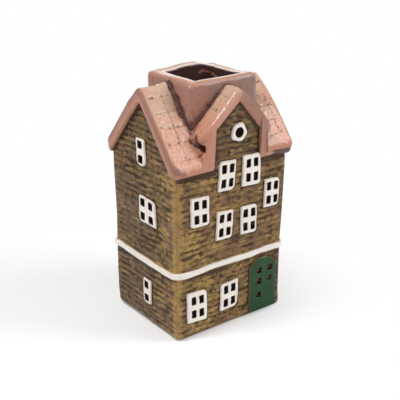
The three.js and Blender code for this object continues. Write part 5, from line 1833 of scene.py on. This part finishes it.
class HOUSE_OT_walls(Operator):
    """Build the brick walls and the slab that they stand on"""

    bl_idname = "house.walls"
    bl_label = "Walls"

    def execute(self, context):
        make_floor()
        for face in FACES:
            make_wall(face)
        return {"FINISHED"}


class HOUSE_OT_roof(Operator):
    """Lay the slabs of the main roof"""

    bl_idname = "house.roof"
    bl_label = "Main roof"

    def execute(self, context):
        make_main_roof()
        return {"FINISHED"}


class HOUSE_OT_dormer(Operator):
    """Raise the dormer over the front wall"""

    bl_idname = "house.dormer"
    bl_label = "Dormer"

    def execute(self, context):
        make_dormer()
        return {"FINISHED"}


class HOUSE_OT_collar(Operator):
    """Build the square collar that lets the warm air out"""

    bl_idname = "house.collar"
    bl_label = "Collar"

    def execute(self, context):
        make_collar()
        return {"FINISHED"}


class HOUSE_OT_windows(Operator):
    """Press the window plaques on the walls"""

    bl_idname = "house.windows"
    bl_label = "Windows"

    def execute(self, context):
        for name in WINDOWS:
            make_window(name)
        make_round_window()
        return {"FINISHED"}


class HOUSE_OT_band(Operator):
    """Lay the string course round the house"""

    bl_idname = "house.band"
    bl_label = "String course"

    def execute(self, context):
        for face in FACES:
            make_band(face)
        return {"FINISHED"}


class HOUSE_OT_door(Operator):
    """Press the green door on the front wall"""

    bl_idname = "house.door"
    bl_label = "Door"

    def execute(self, context):
        make_door()
        return {"FINISHED"}


class HOUSE_PT_panel(Panel):
    """The sizes, the glazes and the steps of the candle house"""

    bl_idname = "HOUSE_PT_panel"
    bl_label = "Candle house"
    bl_space_type = "VIEW_3D"
    bl_region_type = "UI"
    bl_category = "Candle house"

    def draw(self, context):
        for group in (context.scene.house_sizes, context.scene.house_glazes):
            box = self.layout.box()
            for key in type(group).__annotations__:
                box.prop(group, key)
        for step in STEPS:
            self.layout.operator(step.bl_idname)


STEPS = (
    HOUSE_OT_stage,
    HOUSE_OT_walls,
    HOUSE_OT_roof,
    HOUSE_OT_dormer,
    HOUSE_OT_collar,
    HOUSE_OT_windows,
    HOUSE_OT_band,
    HOUSE_OT_door,
)
CLASSES = (HouseSizes, HouseGlazes, *STEPS, HOUSE_PT_panel)


def register():
    for part in CLASSES:
        bpy.utils.register_class(part)
    bpy.types.Scene.house_sizes = PointerProperty(type=HouseSizes)
    bpy.types.Scene.house_glazes = PointerProperty(type=HouseGlazes)


def unregister():
    del bpy.types.Scene.house_glazes
    del bpy.types.Scene.house_sizes
    for part in reversed(CLASSES):
        bpy.utils.unregister_class(part)


def main():
    register()
    bpy.ops.house.stage()
    bpy.ops.house.walls()
    bpy.ops.house.roof()
    bpy.ops.house.dormer()
    bpy.ops.house.collar()
    bpy.ops.house.windows()
    bpy.ops.house.band()
    bpy.ops.house.door()
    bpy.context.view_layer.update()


if __name__ == "__main__":
    main()
